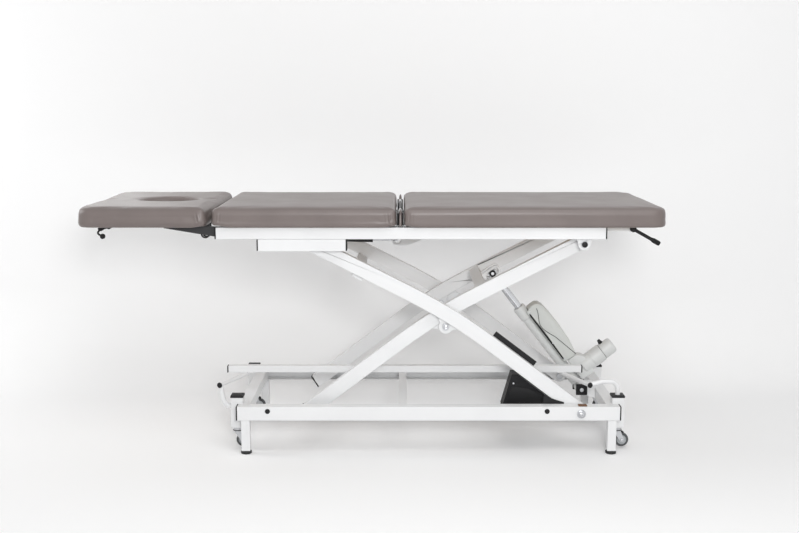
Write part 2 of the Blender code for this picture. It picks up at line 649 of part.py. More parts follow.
def make_base():
    rail_outer_in = RAIL_OUTER - BASE_RAIL_WALL / 2
    half = MIDDLE_BEAM / 2
    frame = block("base_frame", (MIDDLE_BEAM_X - half, -rail_outer_in, LOWER_PIVOT_Z - half),
                  (MIDDLE_BEAM_X + half, rail_outer_in, LOWER_PIVOT_Z + half))
    pieces = []
    holes = []
    for name, side in SIDES.items():
        pieces.append(extruded("base_rail_" + name,
                               channel_outline(side, RAIL_OUTER, BASE_RAIL_WIDTH, BASE_RAIL_BOTTOM,
                                               BASE_RAIL_HEIGHT,
                                               BASE_RAIL_WALL), "X", BASE_RAIL_LEFT, BASE_RAIL_RIGHT))
        holes.append(cylinder("rail_bore_" + name,
                              (FIXED_PIVOT_X, side * (RAIL_OUTER - 2 * BASE_RAIL_WALL), LOWER_PIVOT_Z),
                              (FIXED_PIVOT_X, side * (RAIL_OUTER + BASE_RAIL_WALL), LOWER_PIVOT_Z),
                              PIVOT_RADIUS + PIN_PLAY))
    for end_name, end in ENDS.items():
        beam_x = end_beam_x(end)
        post_x = POST_LEFT_X if end < 0 else POST_RIGHT_X
        leg_x = LEG_LEFT_X if end < 0 else LEG_RIGHT_X
        half = END_BEAM / 2
        pieces.append(block("end_beam_" + end_name, (beam_x - half, -rail_outer_in, LOWER_PIVOT_Z - half),
                            (beam_x + half, rail_outer_in, LOWER_PIVOT_Z + half)))
        for name, side in SIDES.items():
            tag = f"_{name}_{end_name}"
            y = side * POST_Y
            half_post = POST_SIDE / 2
            pieces.append(block("post" + tag, (post_x - half_post, y - half_post, POST_BOTTOM),
                                (post_x + half_post, y + half_post, POST_TOP)))
            holes.append(cylinder("post_bore" + tag, (post_x, y, POST_BOTTOM - OVERLAP),
                                  (post_x, y, POST_TOP + OVERLAP),
                                  STEM_RADIUS + PIN_PLAY))
            leg_y = side * (RAIL_OUTER - LEG_SIDE / 2 - BASE_RAIL_WALL / 4)
            half_leg = LEG_SIDE / 2
            pieces.append(block("leg" + tag, (leg_x - half_leg, leg_y - half_leg, FOOT_HEIGHT + FIT),
                                (leg_x + half_leg, leg_y + half_leg,
                                 BASE_RAIL_BOTTOM + BASE_RAIL_WALL / 2)))
            foot = turned("foot" + tag, [(0, FOOT_HEIGHT), (FOOT_RADIUS * 0.72, FOOT_HEIGHT),
                                         (FOOT_RADIUS * 0.9, FOOT_HEIGHT * 0.6),
                                         (FOOT_RADIUS, FOOT_HEIGHT * 0.2), (FOOT_RADIUS * 0.93, 0), (0, 0)],
                          (leg_x, leg_y, 0), (0, 0, 1), 12)
            finish(foot, "rubber")
    slot_half = FOOT_TUBE_RADIUS + 2 * PIN_PLAY
    holes.append(block("foot_bar_slot", (POST_LEFT_X - POST_SIDE, -POST_Y - slot_half,
                                         arm_entry_z() - slot_half - CASTOR_TRAVEL),
                       (POST_LEFT_X, -POST_Y + slot_half, arm_entry_z() + slot_half)))
    join(frame, *pieces)
    cut(frame, *holes)
    finish(frame, "white_paint")
    return frame


def arm_entry_z():
    """The height at which the foot bar's left arm enters its guide post."""
    return (POST_BOTTOM + POST_TOP) / 2 + CASTOR_TRAVEL


def make_guards(outer_arms):
    tray_low = BASE_RAIL_BOTTOM + BASE_RAIL_WALL + FIT
    tray_high = tray_low + 2 * BASE_RAIL_WALL
    crest = GUARD_LEFT_X + GUARD_LEAN
    outline = [(GUARD_LEFT_X, GUARD_BOTTOM_Z), (GUARD_RIGHT_X, GUARD_BOTTOM_Z),
               (GUARD_RIGHT_X - GUARD_TOE_RUN, GUARD_BOTTOM_Z + GUARD_TOE_RISE),
               (crest + GUARD_CREST, GUARD_TOP_Z), (crest, GUARD_TOP_Z)]
    guard = extruded("base_guard", outline, "Y", GUARD_OUTER_Y, GUARD_INNER_Y)
    tray_right = GUARD_LEFT_X + (GUARD_RIGHT_X - GUARD_LEFT_X) / 2
    tray = block("guard_tray", (GUARD_LEFT_X, -RAIL_OUTER + 2 * BASE_RAIL_WALL, tray_low),
                 (tray_right, GUARD_INNER_Y - OVERLAP, tray_high))
    web = block("guard_web", (GUARD_LEFT_X + OVERLAP, GUARD_OUTER_Y + OVERLAP, tray_low + OVERLAP),
                (tray_right - OVERLAP, GUARD_INNER_Y - 2 * OVERLAP, GUARD_BOTTOM_Z + OVERLAP))
    join(guard, web, tray)
    finish(guard, "black_plastic")
    slope = ARM_LEAN + arm_drop()
    along = Vector((math.cos(slope), 0, -math.sin(slope)))
    up = Vector((math.sin(slope), 0, math.cos(slope)))
    arm_end = Vector((FIXED_PIVOT_X, 0, LOWER_PIVOT_Z))
    on_arm = arm_end - along * (ARM_LENGTH / 2 - ARM_GUARD_FROM_CENTRE)
    plate_middle = on_arm + up * (ARM_DEPTH / 2 + ARM_GUARD_PROUD - ARM_GUARD_DEPTH / 2)
    plate_middle.y = -(OUTER_ARM_IN - FIT - ARM_GUARD_THICKNESS / 2)
    turn = Matrix((along, (0, 1, 0), up)).transposed().to_4x4()
    plate = tilted_block("arm_guard", (ARM_GUARD_LENGTH, ARM_GUARD_THICKNESS - 2 * FIT, ARM_GUARD_DEPTH),
                         Matrix.Translation(plate_middle) @ turn)
    finish(plate, "black_plastic")
    mount(plate, outer_arms)


# Scissor

def arm_drop():
    """The slope of an arm's straight part against the line through its pivots."""
    half = ARM_LENGTH / 2
    return math.atan2(ARM_BOW, half * (1 - ARM_BEND_SHARE / 2))


def arm_outline(mirror):
    """A shallow boomerang about its centre pivot, bowed upwards, with round ends, in x and z."""
    half = ARM_LENGTH / 2
    drop = arm_drop()
    bow_radius = half * ARM_BEND_SHARE / math.sin(drop)
    middle = (0, ARM_BOW - bow_radius)
    radius = ARM_DEPTH / 2
    tilt = math.degrees(drop)
    outline = arc(middle, bow_radius + radius, 90 + tilt, 90 - tilt, 6)
    outline += arc((half, 0), radius, 90 - tilt, -90 - tilt, 8)
    outline += arc(middle, bow_radius - radius, 90 - tilt, 90 + tilt, 6)
    outline += arc((-half, 0), radius, 270 + tilt, 90 + tilt, 8)
    return leaned(outline, ARM_LEAN if mirror else -ARM_LEAN)


def leaned(points, slope):
    """Points drawn about the scissor's centre, turned to an arm's slope."""
    return [(CENTRE_X + u * math.cos(slope) - v * math.sin(slope),
             CENTRE_Z + u * math.sin(slope) + v * math.cos(slope)) for u, v in points]


def ear_outline(mirror):
    """The plate under the bend that holds the centre bolt, in x and z."""
    top = ARM_BOW - ARM_DEPTH * 0.3
    points = arc((0, 0), EAR_RADIUS, 180, 360, 8)
    points += [(2.2 * EAR_RADIUS, top), (-2.2 * EAR_RADIUS, top)]
    return leaned(points, ARM_LEAN if mirror else -ARM_LEAN)


def through(name, x, z, low, high, radius):
    return cylinder(name, (x, low, z), (x, high, z), radius)


def span(side, outer, inner):
    """Two y values, low first, on one side of the table."""
    return sorted((side * outer, side * inner))


def make_arm_tie(outer_arms):
    """The flat tube that ties the two outer arms together near their rollers."""
    x = CENTRE_X - ARM_TIE_AHEAD * math.cos(ARM_LEAN) - ARM_TIE_BELOW * math.sin(ARM_LEAN)
    z = CENTRE_Z + ARM_TIE_AHEAD * math.sin(ARM_LEAN) - ARM_TIE_BELOW * math.cos(ARM_LEAN)
    size = (ARM_TIE_WIDTH, 2 * (OUTER_ARM_IN - FIT), ARM_TIE_DEPTH)
    tie = tilted_block("outer_arm_tie", size, Matrix.Translation((x, 0, z)) @ Matrix.Rotation(ARM_LEAN, 4, "Y"))
    finish(tie, "white_paint")
    mount(tie, outer_arms)


def make_arms(outer_arms, inner_arms):
    bore = PIVOT_RADIUS + PIN_PLAY
    roller_end = RAIL_OUTER - TRACK_WALL - ARM_SIDE_GAP
    for name, side in SIDES.items():
        arm = extruded("outer_arm_" + name, arm_outline(False), "Y",
                       *span(side, OUTER_ARM_OUT, OUTER_ARM_IN))
        ear_in = OUTER_ARM_IN + OVERLAP / 2
        ear = extruded("outer_ear_" + name, ear_outline(False), "Y",
                       *span(side, ear_in + EAR_THICKNESS, ear_in))
        axle = through("outer_axle_" + name, ROLLER_X, UPPER_PIVOT_Z,
                       *span(side, roller_end, OUTER_ARM_IN + OVERLAP), ROLLER_AXLE_RADIUS)
        join(arm, ear, axle)
        cut(arm, through("outer_foot_bore_" + name, FIXED_PIVOT_X, LOWER_PIVOT_Z, -RAIL_OUTER, RAIL_OUTER,
                         bore),
            through("outer_centre_bore_" + name, CENTRE_X, CENTRE_Z, -RAIL_OUTER, RAIL_OUTER, bore))
        finish(arm, "white_paint")
        mount(arm, outer_arms)
    make_arm_tie(outer_arms)
    pair = extruded("inner_arms", arm_outline(True), "Y", *span(-1, INNER_ARM_OUT, INNER_ARM_IN))
    far = extruded("inner_arm_far", arm_outline(True), "Y", *span(1, INNER_ARM_OUT, INNER_ARM_IN))
    pieces = [far]
    holes = []
    for name, side in SIDES.items():
        ear_out = INNER_ARM_OUT - OVERLAP / 2
        pieces.append(extruded("inner_ear_" + name, ear_outline(True), "Y",
                               *span(side, ear_out, ear_out - EAR_THICKNESS)))
        pieces.append(through("inner_axle_" + name, ROLLER_X, LOWER_PIVOT_Z,
                              *span(side, roller_end, INNER_ARM_IN + OVERLAP), ROLLER_AXLE_RADIUS))
    turn = Matrix.Rotation(-ARM_LEAN, 4, "Y")
    pieces.append(tilted_block("lift_cross", (LIFT_CROSS_SIDE, 2 * INNER_ARM_IN + 2 * OVERLAP,
                                              LIFT_CROSS_SIDE),
                               Matrix.Translation((LIFT_CROSS_X, 0, LIFT_CROSS_Z)) @ turn))
    along, across = actuator_axes()
    eye = Vector((ACTUATOR_EYE_X, 0, ACTUATOR_EYE_Z))
    plate_in = ACTUATOR_LUG_WIDTH / 2 + 2 * PIN_PLAY + BRACKET_PLATE / 4
    slot_radius = ACTUATOR_PIN_RADIUS + EYE_SLOT_PLAY
    outer_radius = slot_radius + BRACKET_PLATE
    root = Vector((LIFT_CROSS_X, 0, LIFT_CROSS_Z))
    for name, side in SIDES.items():
        outline = slot_outline(eye, across, EYE_SLOT_HALF, outer_radius, root)
        pieces.append(extruded("eye_plate_" + name, outline, "Y",
                               *span(side, plate_in + BRACKET_PLATE, plate_in)))
    holes.append(extruded("eye_slot", slot_outline(eye, across, EYE_SLOT_HALF, slot_radius), "Y",
                          -INNER_ARM_IN / 2, INNER_ARM_IN / 2))
    holes.append(through("inner_top_bore", FIXED_PIVOT_X, UPPER_PIVOT_Z, -RAIL_OUTER, RAIL_OUTER, bore))
    holes.append(through("inner_centre_bore", CENTRE_X, CENTRE_Z, -RAIL_OUTER, RAIL_OUTER, bore))
    join(pair, *pieces)
    cut(pair, *holes)
    finish(pair, "white_paint")
    mount(pair, inner_arms)


def slot_outline(middle, direction, half, radius, root=None):
    """An oval slot shape about a point, or with a root a plate that also reaches the cross tube."""
    angle = math.degrees(math.atan2(direction.z, direction.x))
    first = middle + direction * half
    last = middle - direction * half
    points = arc((first.x, first.z), radius, angle - 90, angle + 90, 8)
    if root is None:
        return points + arc((last.x, last.z), radius, angle + 90, angle + 270, 8)
    up = Vector((-math.sin(ARM_LEAN), 0, math.cos(ARM_LEAN)))
    along = Vector((math.cos(ARM_LEAN), 0, math.sin(ARM_LEAN)))
    reach = LIFT_CROSS_SIDE / 2 - OVERLAP
    corners = [root + up * reach - along * reach, root - up * reach - along * reach]
    points += [(corner.x, corner.z) for corner in corners]
    return points + arc((last.x, last.z), radius, angle + 180, angle + 270, 4)


def stepped_bolt(name, x, z, side, sections):
    """A bolt along y: (radius, start, end) sections counted outwards to inwards from the rail side."""
    profile = [(0, sections[0][1])]
    for radius, start, end in sections:
        profile.append((radius, start))
        profile.append((radius, end))
    profile.append((0, sections[-1][2]))
    return turned(name, profile, (x, 0, z), (0, side, 0), 12)


def make_pivot_bolts(outer_arms, top):
    head = 1.5 * PIVOT_RADIUS
    washer = 2 * PIVOT_RADIUS
    bush = 1.6 * PIVOT_RADIUS
    thick = 0.85 * PIVOT_RADIUS
    for name, side in SIDES.items():
        outside = RAIL_OUTER + FIT
        lower = stepped_bolt("lower_pivot_bolt_" + name, FIXED_PIVOT_X, LOWER_PIVOT_Z, side, [
            (head, outside + 1.5 * thick, outside + 0.5 * thick), (washer, outside + 0.5 * thick, outside),
            (PIVOT_RADIUS, outside, RAIL_OUTER - BASE_RAIL_WALL - FIT),
            (bush, RAIL_OUTER - BASE_RAIL_WALL - FIT, OUTER_ARM_OUT + FIT),
            (PIVOT_RADIUS, OUTER_ARM_OUT + FIT, OUTER_ARM_IN - FIT),
            (head, OUTER_ARM_IN - FIT, OUTER_ARM_IN - FIT - thick)])
        ear_out, ear_in = bracket_span()
        upper = stepped_bolt("upper_pivot_bolt_" + name, FIXED_PIVOT_X, UPPER_PIVOT_Z, side, [
            (head, ear_out + FIT + thick, ear_out + FIT), (PIVOT_RADIUS, ear_out + FIT, ear_in - FIT),
            (bush, ear_in - FIT, INNER_ARM_OUT + FIT),
            (PIVOT_RADIUS, INNER_ARM_OUT + FIT, INNER_ARM_IN - FIT),
            (head, INNER_ARM_IN - FIT, INNER_ARM_IN - FIT - thick)])
        mount(upper, top)
        outer_ear = OUTER_ARM_IN + OVERLAP / 2 + EAR_THICKNESS
        inner_ear = INNER_ARM_OUT - OVERLAP / 2 - EAR_THICKNESS
        centre = stepped_bolt("centre_bolt_" + name, CENTRE_X, CENTRE_Z, side, [
            (head, outer_ear + FIT + thick, outer_ear + FIT),
            (PIVOT_RADIUS, outer_ear + FIT, OUTER_ARM_IN + OVERLAP / 2 - FIT),
            (bush, OUTER_ARM_IN + OVERLAP / 2 - FIT, INNER_ARM_OUT - OVERLAP / 2 + FIT),
            (PIVOT_RADIUS, INNER_ARM_OUT - OVERLAP / 2 + FIT, inner_ear - FIT),
            (head, inner_ear - FIT, inner_ear - FIT - thick)])
        mount(centre, outer_arms)
        for bolt in (lower, upper, centre):
            finish(bolt, "zinc")


def make_rollers(upper_rollers, lower_rollers):
    for level, carrier, z, height in (("upper", upper_rollers, UPPER_PIVOT_Z,
                                       TRACK_HEIGHT - 2 * TRACK_WALL),
                                      ("lower", lower_rollers, LOWER_PIVOT_Z,
                                       BASE_RAIL_HEIGHT - 2 * BASE_RAIL_WALL)):
        radius = height / 2 - ROLLER_PLAY
        bore = ROLLER_AXLE_RADIUS + PIN_PLAY
        edge = 0.12 * radius
        half = ROLLER_WIDTH / 2
        for name, side in SIDES.items():
            middle = RAIL_OUTER - TRACK_WALL - ARM_SIDE_GAP - half
            roller = turned(f"{level}_roller_{name}", [
                (bore, half), (radius - edge, half), (radius, half - edge), (radius, edge - half),
                (radius - edge, -half),
                (bore, -half)], (ROLLER_X, side * middle, z), (0, 1, 0), closed=True)
            finish(roller, "black_plastic")
            mount(roller, carrier)


# Actuator

def actuator_axes():
    """Unit vectors along the actuator at rest, from foot to eye, and across it towards the shell."""
    along = Vector((ACTUATOR_EYE_X - ACTUATOR_FOOT_X, 0, ACTUATOR_EYE_Z - ACTUATOR_FOOT_Z)).normalized()
    return along, Vector((along.z, 0, -along.x))


def on_actuator(distance, offset=0.0, y=0.0):
    along, across = actuator_axes()
    point = Vector((ACTUATOR_FOOT_X, 0, ACTUATOR_FOOT_Z)) + along * distance + across * offset
    point.y = y
    return point


def actuator_block(name, start, end, inner, outer, width):
    along, across = actuator_axes()
    turn = Matrix((across, (0, 1, 0), along)).transposed().to_4x4()
    middle = on_actuator((start + end) / 2, (inner + outer) / 2)
    return tilted_block(name, (outer - inner, width, end - start), Matrix.Translation(middle) @ turn)


def actuator_plate(name, outline, width):
    """A flat outline in distance along and offset across the actuator, given a width in y."""
    points = []
    for distance, offset in outline:
        point = on_actuator(distance, offset)
        points.append((point.x, point.z))
    return extruded(name, points, "Y", -width / 2, width / 2)


def shell_outline(seat):
    """The long shell beside the tube: full at its lower end, drawn in towards a round upper end."""
    outer = seat + SHELL_DEPTH
    top = outer - SHELL_TAPER
    radius = (top - seat) / 2
    points = [(SHELL_START, seat), (SHELL_START, outer - SHELL_TAPER),
              (SHELL_START + 2 * SHELL_TAPER, outer)]
    points.append(((SHELL_START + SHELL_END) / 2, outer))
    return points + arc((SHELL_END - radius, seat + radius), radius, 90, 0, 5) + arc(
        (SHELL_END - radius, seat + radius), radius, -18, -90, 4)


def make_actuator(actuator, rod_carrier):
    half_lug = ACTUATOR_LUG_WIDTH / 2
    bore = ACTUATOR_PIN_RADIUS + PIN_PLAY
    body = cylinder("actuator_tube", on_actuator(ACTUATOR_NECK), on_actuator(ACTUATOR_MOUTH),
                    ACTUATOR_TUBE_RADIUS)
    lug = through("actuator_lug", ACTUATOR_FOOT_X, ACTUATOR_FOOT_Z, -half_lug, half_lug,
                  ACTUATOR_LUG_RADIUS)
    neck = actuator_block("actuator_neck", 0, ACTUATOR_NECK + 2 * OVERLAP, -0.8 * ACTUATOR_LUG_RADIUS,
                          0.8 * ACTUATOR_LUG_RADIUS,
                          0.9 * ACTUATOR_LUG_WIDTH)
    join(body, lug, neck)
    cut(body, cylinder("actuator_bore", on_actuator(ACTUATOR_NECK + 4 * OVERLAP),
                       on_actuator(ACTUATOR_MOUTH + ACTUATOR_TUBE_RADIUS),
                       ACTUATOR_BORE_RADIUS),
        through("actuator_foot_bore", ACTUATOR_FOOT_X, ACTUATOR_FOOT_Z, -RAIL_OUTER, RAIL_OUTER, bore))
    seat = ACTUATOR_TUBE_RADIUS + FIT
    shell = actuator_plate("actuator_shell", shell_outline(seat), SHELL_WIDTH)
    soften(shell, SHELL_EDGE, 2)
    motor = actuator_block("actuator_motor", GEAR_START, SHELL_START - FIT, seat, seat + GEAR_DEPTH,
                           SHELL_WIDTH - 2 * SHELL_EDGE)
    drum_start = seat + GEAR_DEPTH / 2
    drum_end = seat + MOTOR_LENGTH
    drum = cylinder("motor_drum", on_actuator(MOTOR_AXIS, drum_start), on_actuator(MOTOR_AXIS, drum_end),
                    MOTOR_RADIUS)
    cap = cylinder("motor_cap", on_actuator(MOTOR_AXIS, drum_end - OVERLAP),
                   on_actuator(MOTOR_AXIS, drum_end + MOTOR_CAP_LENGTH),
                   MOTOR_CAP_RADIUS)
    join(motor, drum, cap)
    length = (Vector((ACTUATOR_EYE_X, 0, ACTUATOR_EYE_Z)) - Vector((ACTUATOR_FOOT_X, 0,
                                                                    ACTUATOR_FOOT_Z))).length
    rod = cylinder("actuator_rod", on_actuator(length - ACTUATOR_ROD_LENGTH),
                   on_actuator(length - ACTUATOR_LUG_RADIUS / 2),
                   ACTUATOR_ROD_RADIUS)
    eye = through("actuator_eye", ACTUATOR_EYE_X, ACTUATOR_EYE_Z, -half_lug, half_lug, ACTUATOR_LUG_RADIUS)
    join(rod, eye)
    cut(rod, through("actuator_eye_bore", ACTUATOR_EYE_X, ACTUATOR_EYE_Z, -RAIL_OUTER, RAIL_OUTER, bore))
    pin_half = ACTUATOR_LUG_WIDTH / 2 + 2 * BRACKET_PLATE
    eye_pin = through("actuator_eye_pin", ACTUATOR_EYE_X, ACTUATOR_EYE_Z, -pin_half, pin_half,
                      ACTUATOR_PIN_RADIUS)
    foot_pin = through("actuator_foot_pin", ACTUATOR_FOOT_X, ACTUATOR_FOOT_Z, -pin_half, pin_half,
                       ACTUATOR_PIN_RADIUS)
    for thing, key in ((body, "grey_shell"), (shell, "grey_shell"), (motor, "grey_shell"), (rod, "zinc"),
                       (eye_pin, "zinc"),
                       (foot_pin, "zinc")):
        finish(thing, key)
    for thing in (body, shell, motor):
        mount(thing, actuator)
    mount(rod, rod_carrier)
    mount(eye_pin, rod_carrier)
    make_actuator_bracket(bore)


def make_actuator_bracket(bore):
    """Two plates from the end beam that hold the actuator's foot pin."""
    beam_face = end_beam_x(1) - END_BEAM / 2 - FIT
    plate_in = ACTUATOR_LUG_WIDTH / 2 + 2 * PIN_PLAY
    radius = 1.1 * ACTUATOR_LUG_RADIUS
    top = ACTUATOR_FOOT_Z + radius
    low = LOWER_PIVOT_Z - END_BEAM / 2 + OVERLAP
    high = LOWER_PIVOT_Z + END_BEAM / 2 - OVERLAP
    outline = arc((ACTUATOR_FOOT_X, ACTUATOR_FOOT_Z), radius, 90, 270, 8) + [(beam_face, low),
                                                                             (beam_face, high + radius)]
    outline.append((ACTUATOR_FOOT_X + radius, top))
    bracket = extruded("actuator_bracket", outline, "Y", -plate_in - BRACKET_PLATE, -plate_in)
    far = extruded("bracket_far", outline, "Y", plate_in, plate_in + BRACKET_PLATE)
    bridge = block("bracket_bridge", (beam_face - 1.5 * BRACKET_PLATE, -plate_in - BRACKET_PLATE / 2,
                                      low + OVERLAP),
                   (beam_face - OVERLAP / 4, plate_in + BRACKET_PLATE / 2, high - OVERLAP))
    join(bracket, far, bridge)
    cut(bracket, through("bracket_bore", ACTUATOR_FOOT_X, ACTUATOR_FOOT_Z, -RAIL_OUTER, RAIL_OUTER, bore))
    finish(bracket, "white_paint")


# Upper frame

def bracket_span():
    """Outer and inner faces of the ears under the upper rails."""
    middle = RAIL_OUTER - TOP_RAIL_WIDTH * 0.75
    return middle + EAR_THICKNESS / 2, middle - EAR_THICKNESS / 2


def spring_lugs(tag, outline):
    """Two plates on either side of a gas spring that hold its pin, from an outline in x and z."""
    lugs = []
    inner = SPRING_TUBE_RADIUS + 2 * PIN_PLAY
    for name, side in SIDES.items():
        lugs.append(extruded(f"{tag}_lug_{name}", outline, "Y",
                             *span(side, inner + SPRING_LUG_THICKNESS, inner)))
    return lugs


def hanging(x, z, top, radius):
    """The outline of a lug that hangs straight down from a cross tube."""
    return arc((x, z), radius, 180, 360, 8) + [(x + radius, top), (x - radius, top)]


def make_top_frame(top):
    upper_cross = TOP_RAIL_TOP - 0.2 * CROSS_HEIGHT
    lower_cross = TOP_RAIL_TOP - CROSS_HEIGHT
    crossings = [(x, upper_cross, CROSS_HEIGHT) for x in (
        TOP_RAIL_LEFT + 2 * CROSS_WIDTH, HEAD_SPRING_FRAME_X, MAIN_SPRING_FRAME_X, MAIN_HINGE_X)]
    crossings += [(x, lower_cross, LOW_CROSS_HEIGHT) for x in (
        CENTRE_X + CROSS_FROM_CENTRE, TOP_RAIL_RIGHT - CROSS_WIDTH / 2 - OVERLAP)]
    pieces = []
    holes = []
    for name, side in SIDES.items():
        y_low, y_high = span(side, RAIL_OUTER, TOP_RAIL_INNER)
        rail = block("top_rail_" + name, (TOP_RAIL_LEFT, y_low, TOP_RAIL_BOTTOM),
                     (TOP_RAIL_RIGHT, y_high, TOP_RAIL_TOP))
        wall = TOP_RAIL_WALL
        holes.append(block("rail_hollow_" + name,
                           (TOP_RAIL_LEFT - OVERLAP, y_low + wall, TOP_RAIL_BOTTOM + wall),
                           (TOP_RAIL_RIGHT + OVERLAP, y_high - wall, TOP_RAIL_TOP - wall)))
        pieces.append(rail)
        pieces.append(extruded("track_" + name,
                               channel_outline(side, RAIL_OUTER - FIT, TOP_RAIL_WIDTH - FIT, TRACK_BOTTOM,
                                                                TRACK_HEIGHT + TRACK_WALL / 4, TRACK_WALL),
                               "X", TRACK_LEFT, TRACK_RIGHT))
        ear_out, ear_in = bracket_span()
        radius = 2.6 * PIVOT_RADIUS
        outline = arc((FIXED_PIVOT_X, UPPER_PIVOT_Z), radius, 180, 360, 10)
        outline += [(FIXED_PIVOT_X + 1.3 * radius, TOP_RAIL_BOTTOM + TOP_RAIL_WALL / 2),
                    (FIXED_PIVOT_X - 1.3 * radius, TOP_RAIL_BOTTOM + TOP_RAIL_WALL / 2)]
        pieces.append(extruded("top_ear_" + name, outline, "Y", *span(side, ear_out, ear_in)))
        barrel_y = side * MAIN_LUG_Y
        half_lug = MAIN_LUG_WIDTH / 2
        pieces.append(hinge_lug("frame_lug_" + name, barrel_y - half_lug, barrel_y + half_lug,
                                upper_cross - OVERLAP))
    half_cross = TOP_RAIL_INNER + TOP_RAIL_WALL / 2
    for number, (x, high, height) in enumerate(crossings):
        pieces.append(block(f"top_cross_{number}", (x - CROSS_WIDTH / 2, -half_cross, high - height),
                            (x + CROSS_WIDTH / 2, half_cross, high)))
    lug_top = upper_cross - CROSS_HEIGHT / 2
    for tag, x, z in (("head_frame", HEAD_SPRING_FRAME_X, HEAD_SPRING_FRAME_Z),
                      ("main_frame", MAIN_SPRING_FRAME_X, MAIN_SPRING_FRAME_Z)):
        pieces += spring_lugs(tag, hanging(x, z, lug_top, 3 * SPRING_PIN_RADIUS))
        holes.append(through(tag + "_lug_bore", x, z, -HALF_WIDTH / 4, HALF_WIDTH / 4, SPRING_PIN_RADIUS))
    holes.append(through("top_ear_bore", FIXED_PIVOT_X, UPPER_PIVOT_Z, -RAIL_OUTER, RAIL_OUTER,
                         PIVOT_RADIUS + PIN_PLAY))
    holes.append(through("main_barrel_bore", MAIN_HINGE_X, MAIN_HINGE_Z, -RAIL_OUTER, RAIL_OUTER,
                         MAIN_HINGE_PIN + PIN_PLAY / 2))
    holes.append(through("head_pin_bore", HEAD_HINGE_X, HEAD_HINGE_Z, -RAIL_OUTER + TOP_RAIL_WIDTH / 2,
                         RAIL_OUTER - TOP_RAIL_WIDTH / 2, HEAD_HINGE_RADIUS + PIN_PLAY))
    frame = pieces.pop(0)
    frame.name = "top_frame"
    join(frame, *reversed(pieces))
    cut(frame, *holes)
    finish(frame, "white_paint")
    mount(frame, top)
    pin = through("main_hinge_pin", MAIN_HINGE_X, MAIN_HINGE_Z, -MAIN_LUG_Y - 1.6 * MAIN_LUG_WIDTH,
                  MAIN_LUG_Y + 1.6 * MAIN_LUG_WIDTH,
                  MAIN_HINGE_PIN)
    head_pin = through("head_hinge_pin", HEAD_HINGE_X, HEAD_HINGE_Z, -TOP_RAIL_INNER - TOP_RAIL_WIDTH / 4,
                       TOP_RAIL_INNER + TOP_RAIL_WIDTH / 4, HEAD_HINGE_RADIUS)
    for thing in (pin, head_pin):
        finish(thing, "zinc")
        mount(thing, top)


def hinge_lug(name, y_low, y_high, foot):
    """A lug that stands in the gap between two pads and ends in the hinge barrel."""
    half = 0.75 * MAIN_HINGE_BARREL
    outline = [(MAIN_HINGE_X - half, foot), (MAIN_HINGE_X + half, foot)]
    outline += arc((MAIN_HINGE_X, MAIN_HINGE_Z), MAIN_HINGE_BARREL, -40, 220, 10)
    return extruded(name, outline, "Y", y_low, y_high)


# Sections

def make_main_section(main, pads):
    side = MAIN_FRAME_SIDE
    left = MAIN_PAD_LEFT + BOARD_INSET / 2
    top = TOP_RAIL_TOP
    half = MAIN_FRAME_HALF_WIDTH
    frame = block("main_frame", (left, -half, top - side), (left + side, half, top))
    pieces = [block("main_frame_right", (MAIN_FRAME_RIGHT - side, -half, top - side),
                    (MAIN_FRAME_RIGHT, half, top))]
    shrink = OVERLAP / 4
    for name, sign in SIDES.items():
        y_low, y_high = span(sign, half - shrink, half - side + shrink)
        pieces.append(block("main_side_" + name, (left + shrink, y_low, top - side + shrink),
                            (MAIN_FRAME_RIGHT - shrink, y_high, top - shrink)))
        lug_y = sign * (MAIN_LUG_Y - MAIN_LUG_WIDTH - 2 * FIT)
        low = lug_y - MAIN_LUG_WIDTH / 2
        high = lug_y + MAIN_LUG_WIDTH / 2
        foot = TOP_RAIL_TOP - 0.2 * CROSS_HEIGHT + FIT
        pieces.append(hinge_lug("main_lug_" + name, low, high, foot))
        pieces.append(block("main_lug_foot_" + name,
                            (MAIN_HINGE_X - 0.7 * MAIN_HINGE_BARREL, low + shrink, foot + shrink),
                            (left + OVERLAP, high - shrink, top - shrink)))
    hole = SPRING_PIN_RADIUS + MAIN_EYE_PLAY
    rim = hole + MAIN_LUG_RIM
    hinge = (MAIN_HINGE_X, MAIN_HINGE_Z)
    reach = math.hypot(MAIN_SPRING_ARM_X - MAIN_HINGE_X, MAIN_SPRING_ARM_Z - MAIN_HINGE_Z)
    back = math.degrees(math.atan2(MAIN_SPRING_ARM_Z - MAIN_HINGE_Z,
                                   MAIN_SPRING_ARM_X - MAIN_HINGE_X)) + 360
    front = 360 - MAIN_LUG_RISE
    outline = arc(hinge, reach + rim, back, front, 10)
    outline += arc(hinge, reach - rim, front, back, 10)
    outline += arc((MAIN_SPRING_ARM_X, MAIN_SPRING_ARM_Z), rim, back - 180, back, 8)[1:-1]
    bridge_right = MAIN_HINGE_X + reach + rim / 2
    lugs = spring_lugs("main_section", outline)
    bridge = block("main_lug_bridge", (left + side / 2, -2 * SPRING_TUBE_RADIUS, top - side + 2 * shrink),
                   (bridge_right, 2 * SPRING_TUBE_RADIUS, top - 2 * shrink))
    pieces += [bridge, *lugs]
    join(frame, *pieces)
    cut(frame, through("main_lug_bore", MAIN_HINGE_X, MAIN_HINGE_Z, -RAIL_OUTER, RAIL_OUTER,
                       MAIN_HINGE_PIN + PIN_PLAY / 2),
        through("main_eye_hole", MAIN_SPRING_ARM_X, MAIN_SPRING_ARM_Z, -RAIL_OUTER, RAIL_OUTER, hole))
    finish(frame, "white_paint")
    for thing in (frame, *pads):
        mount(thing, main)


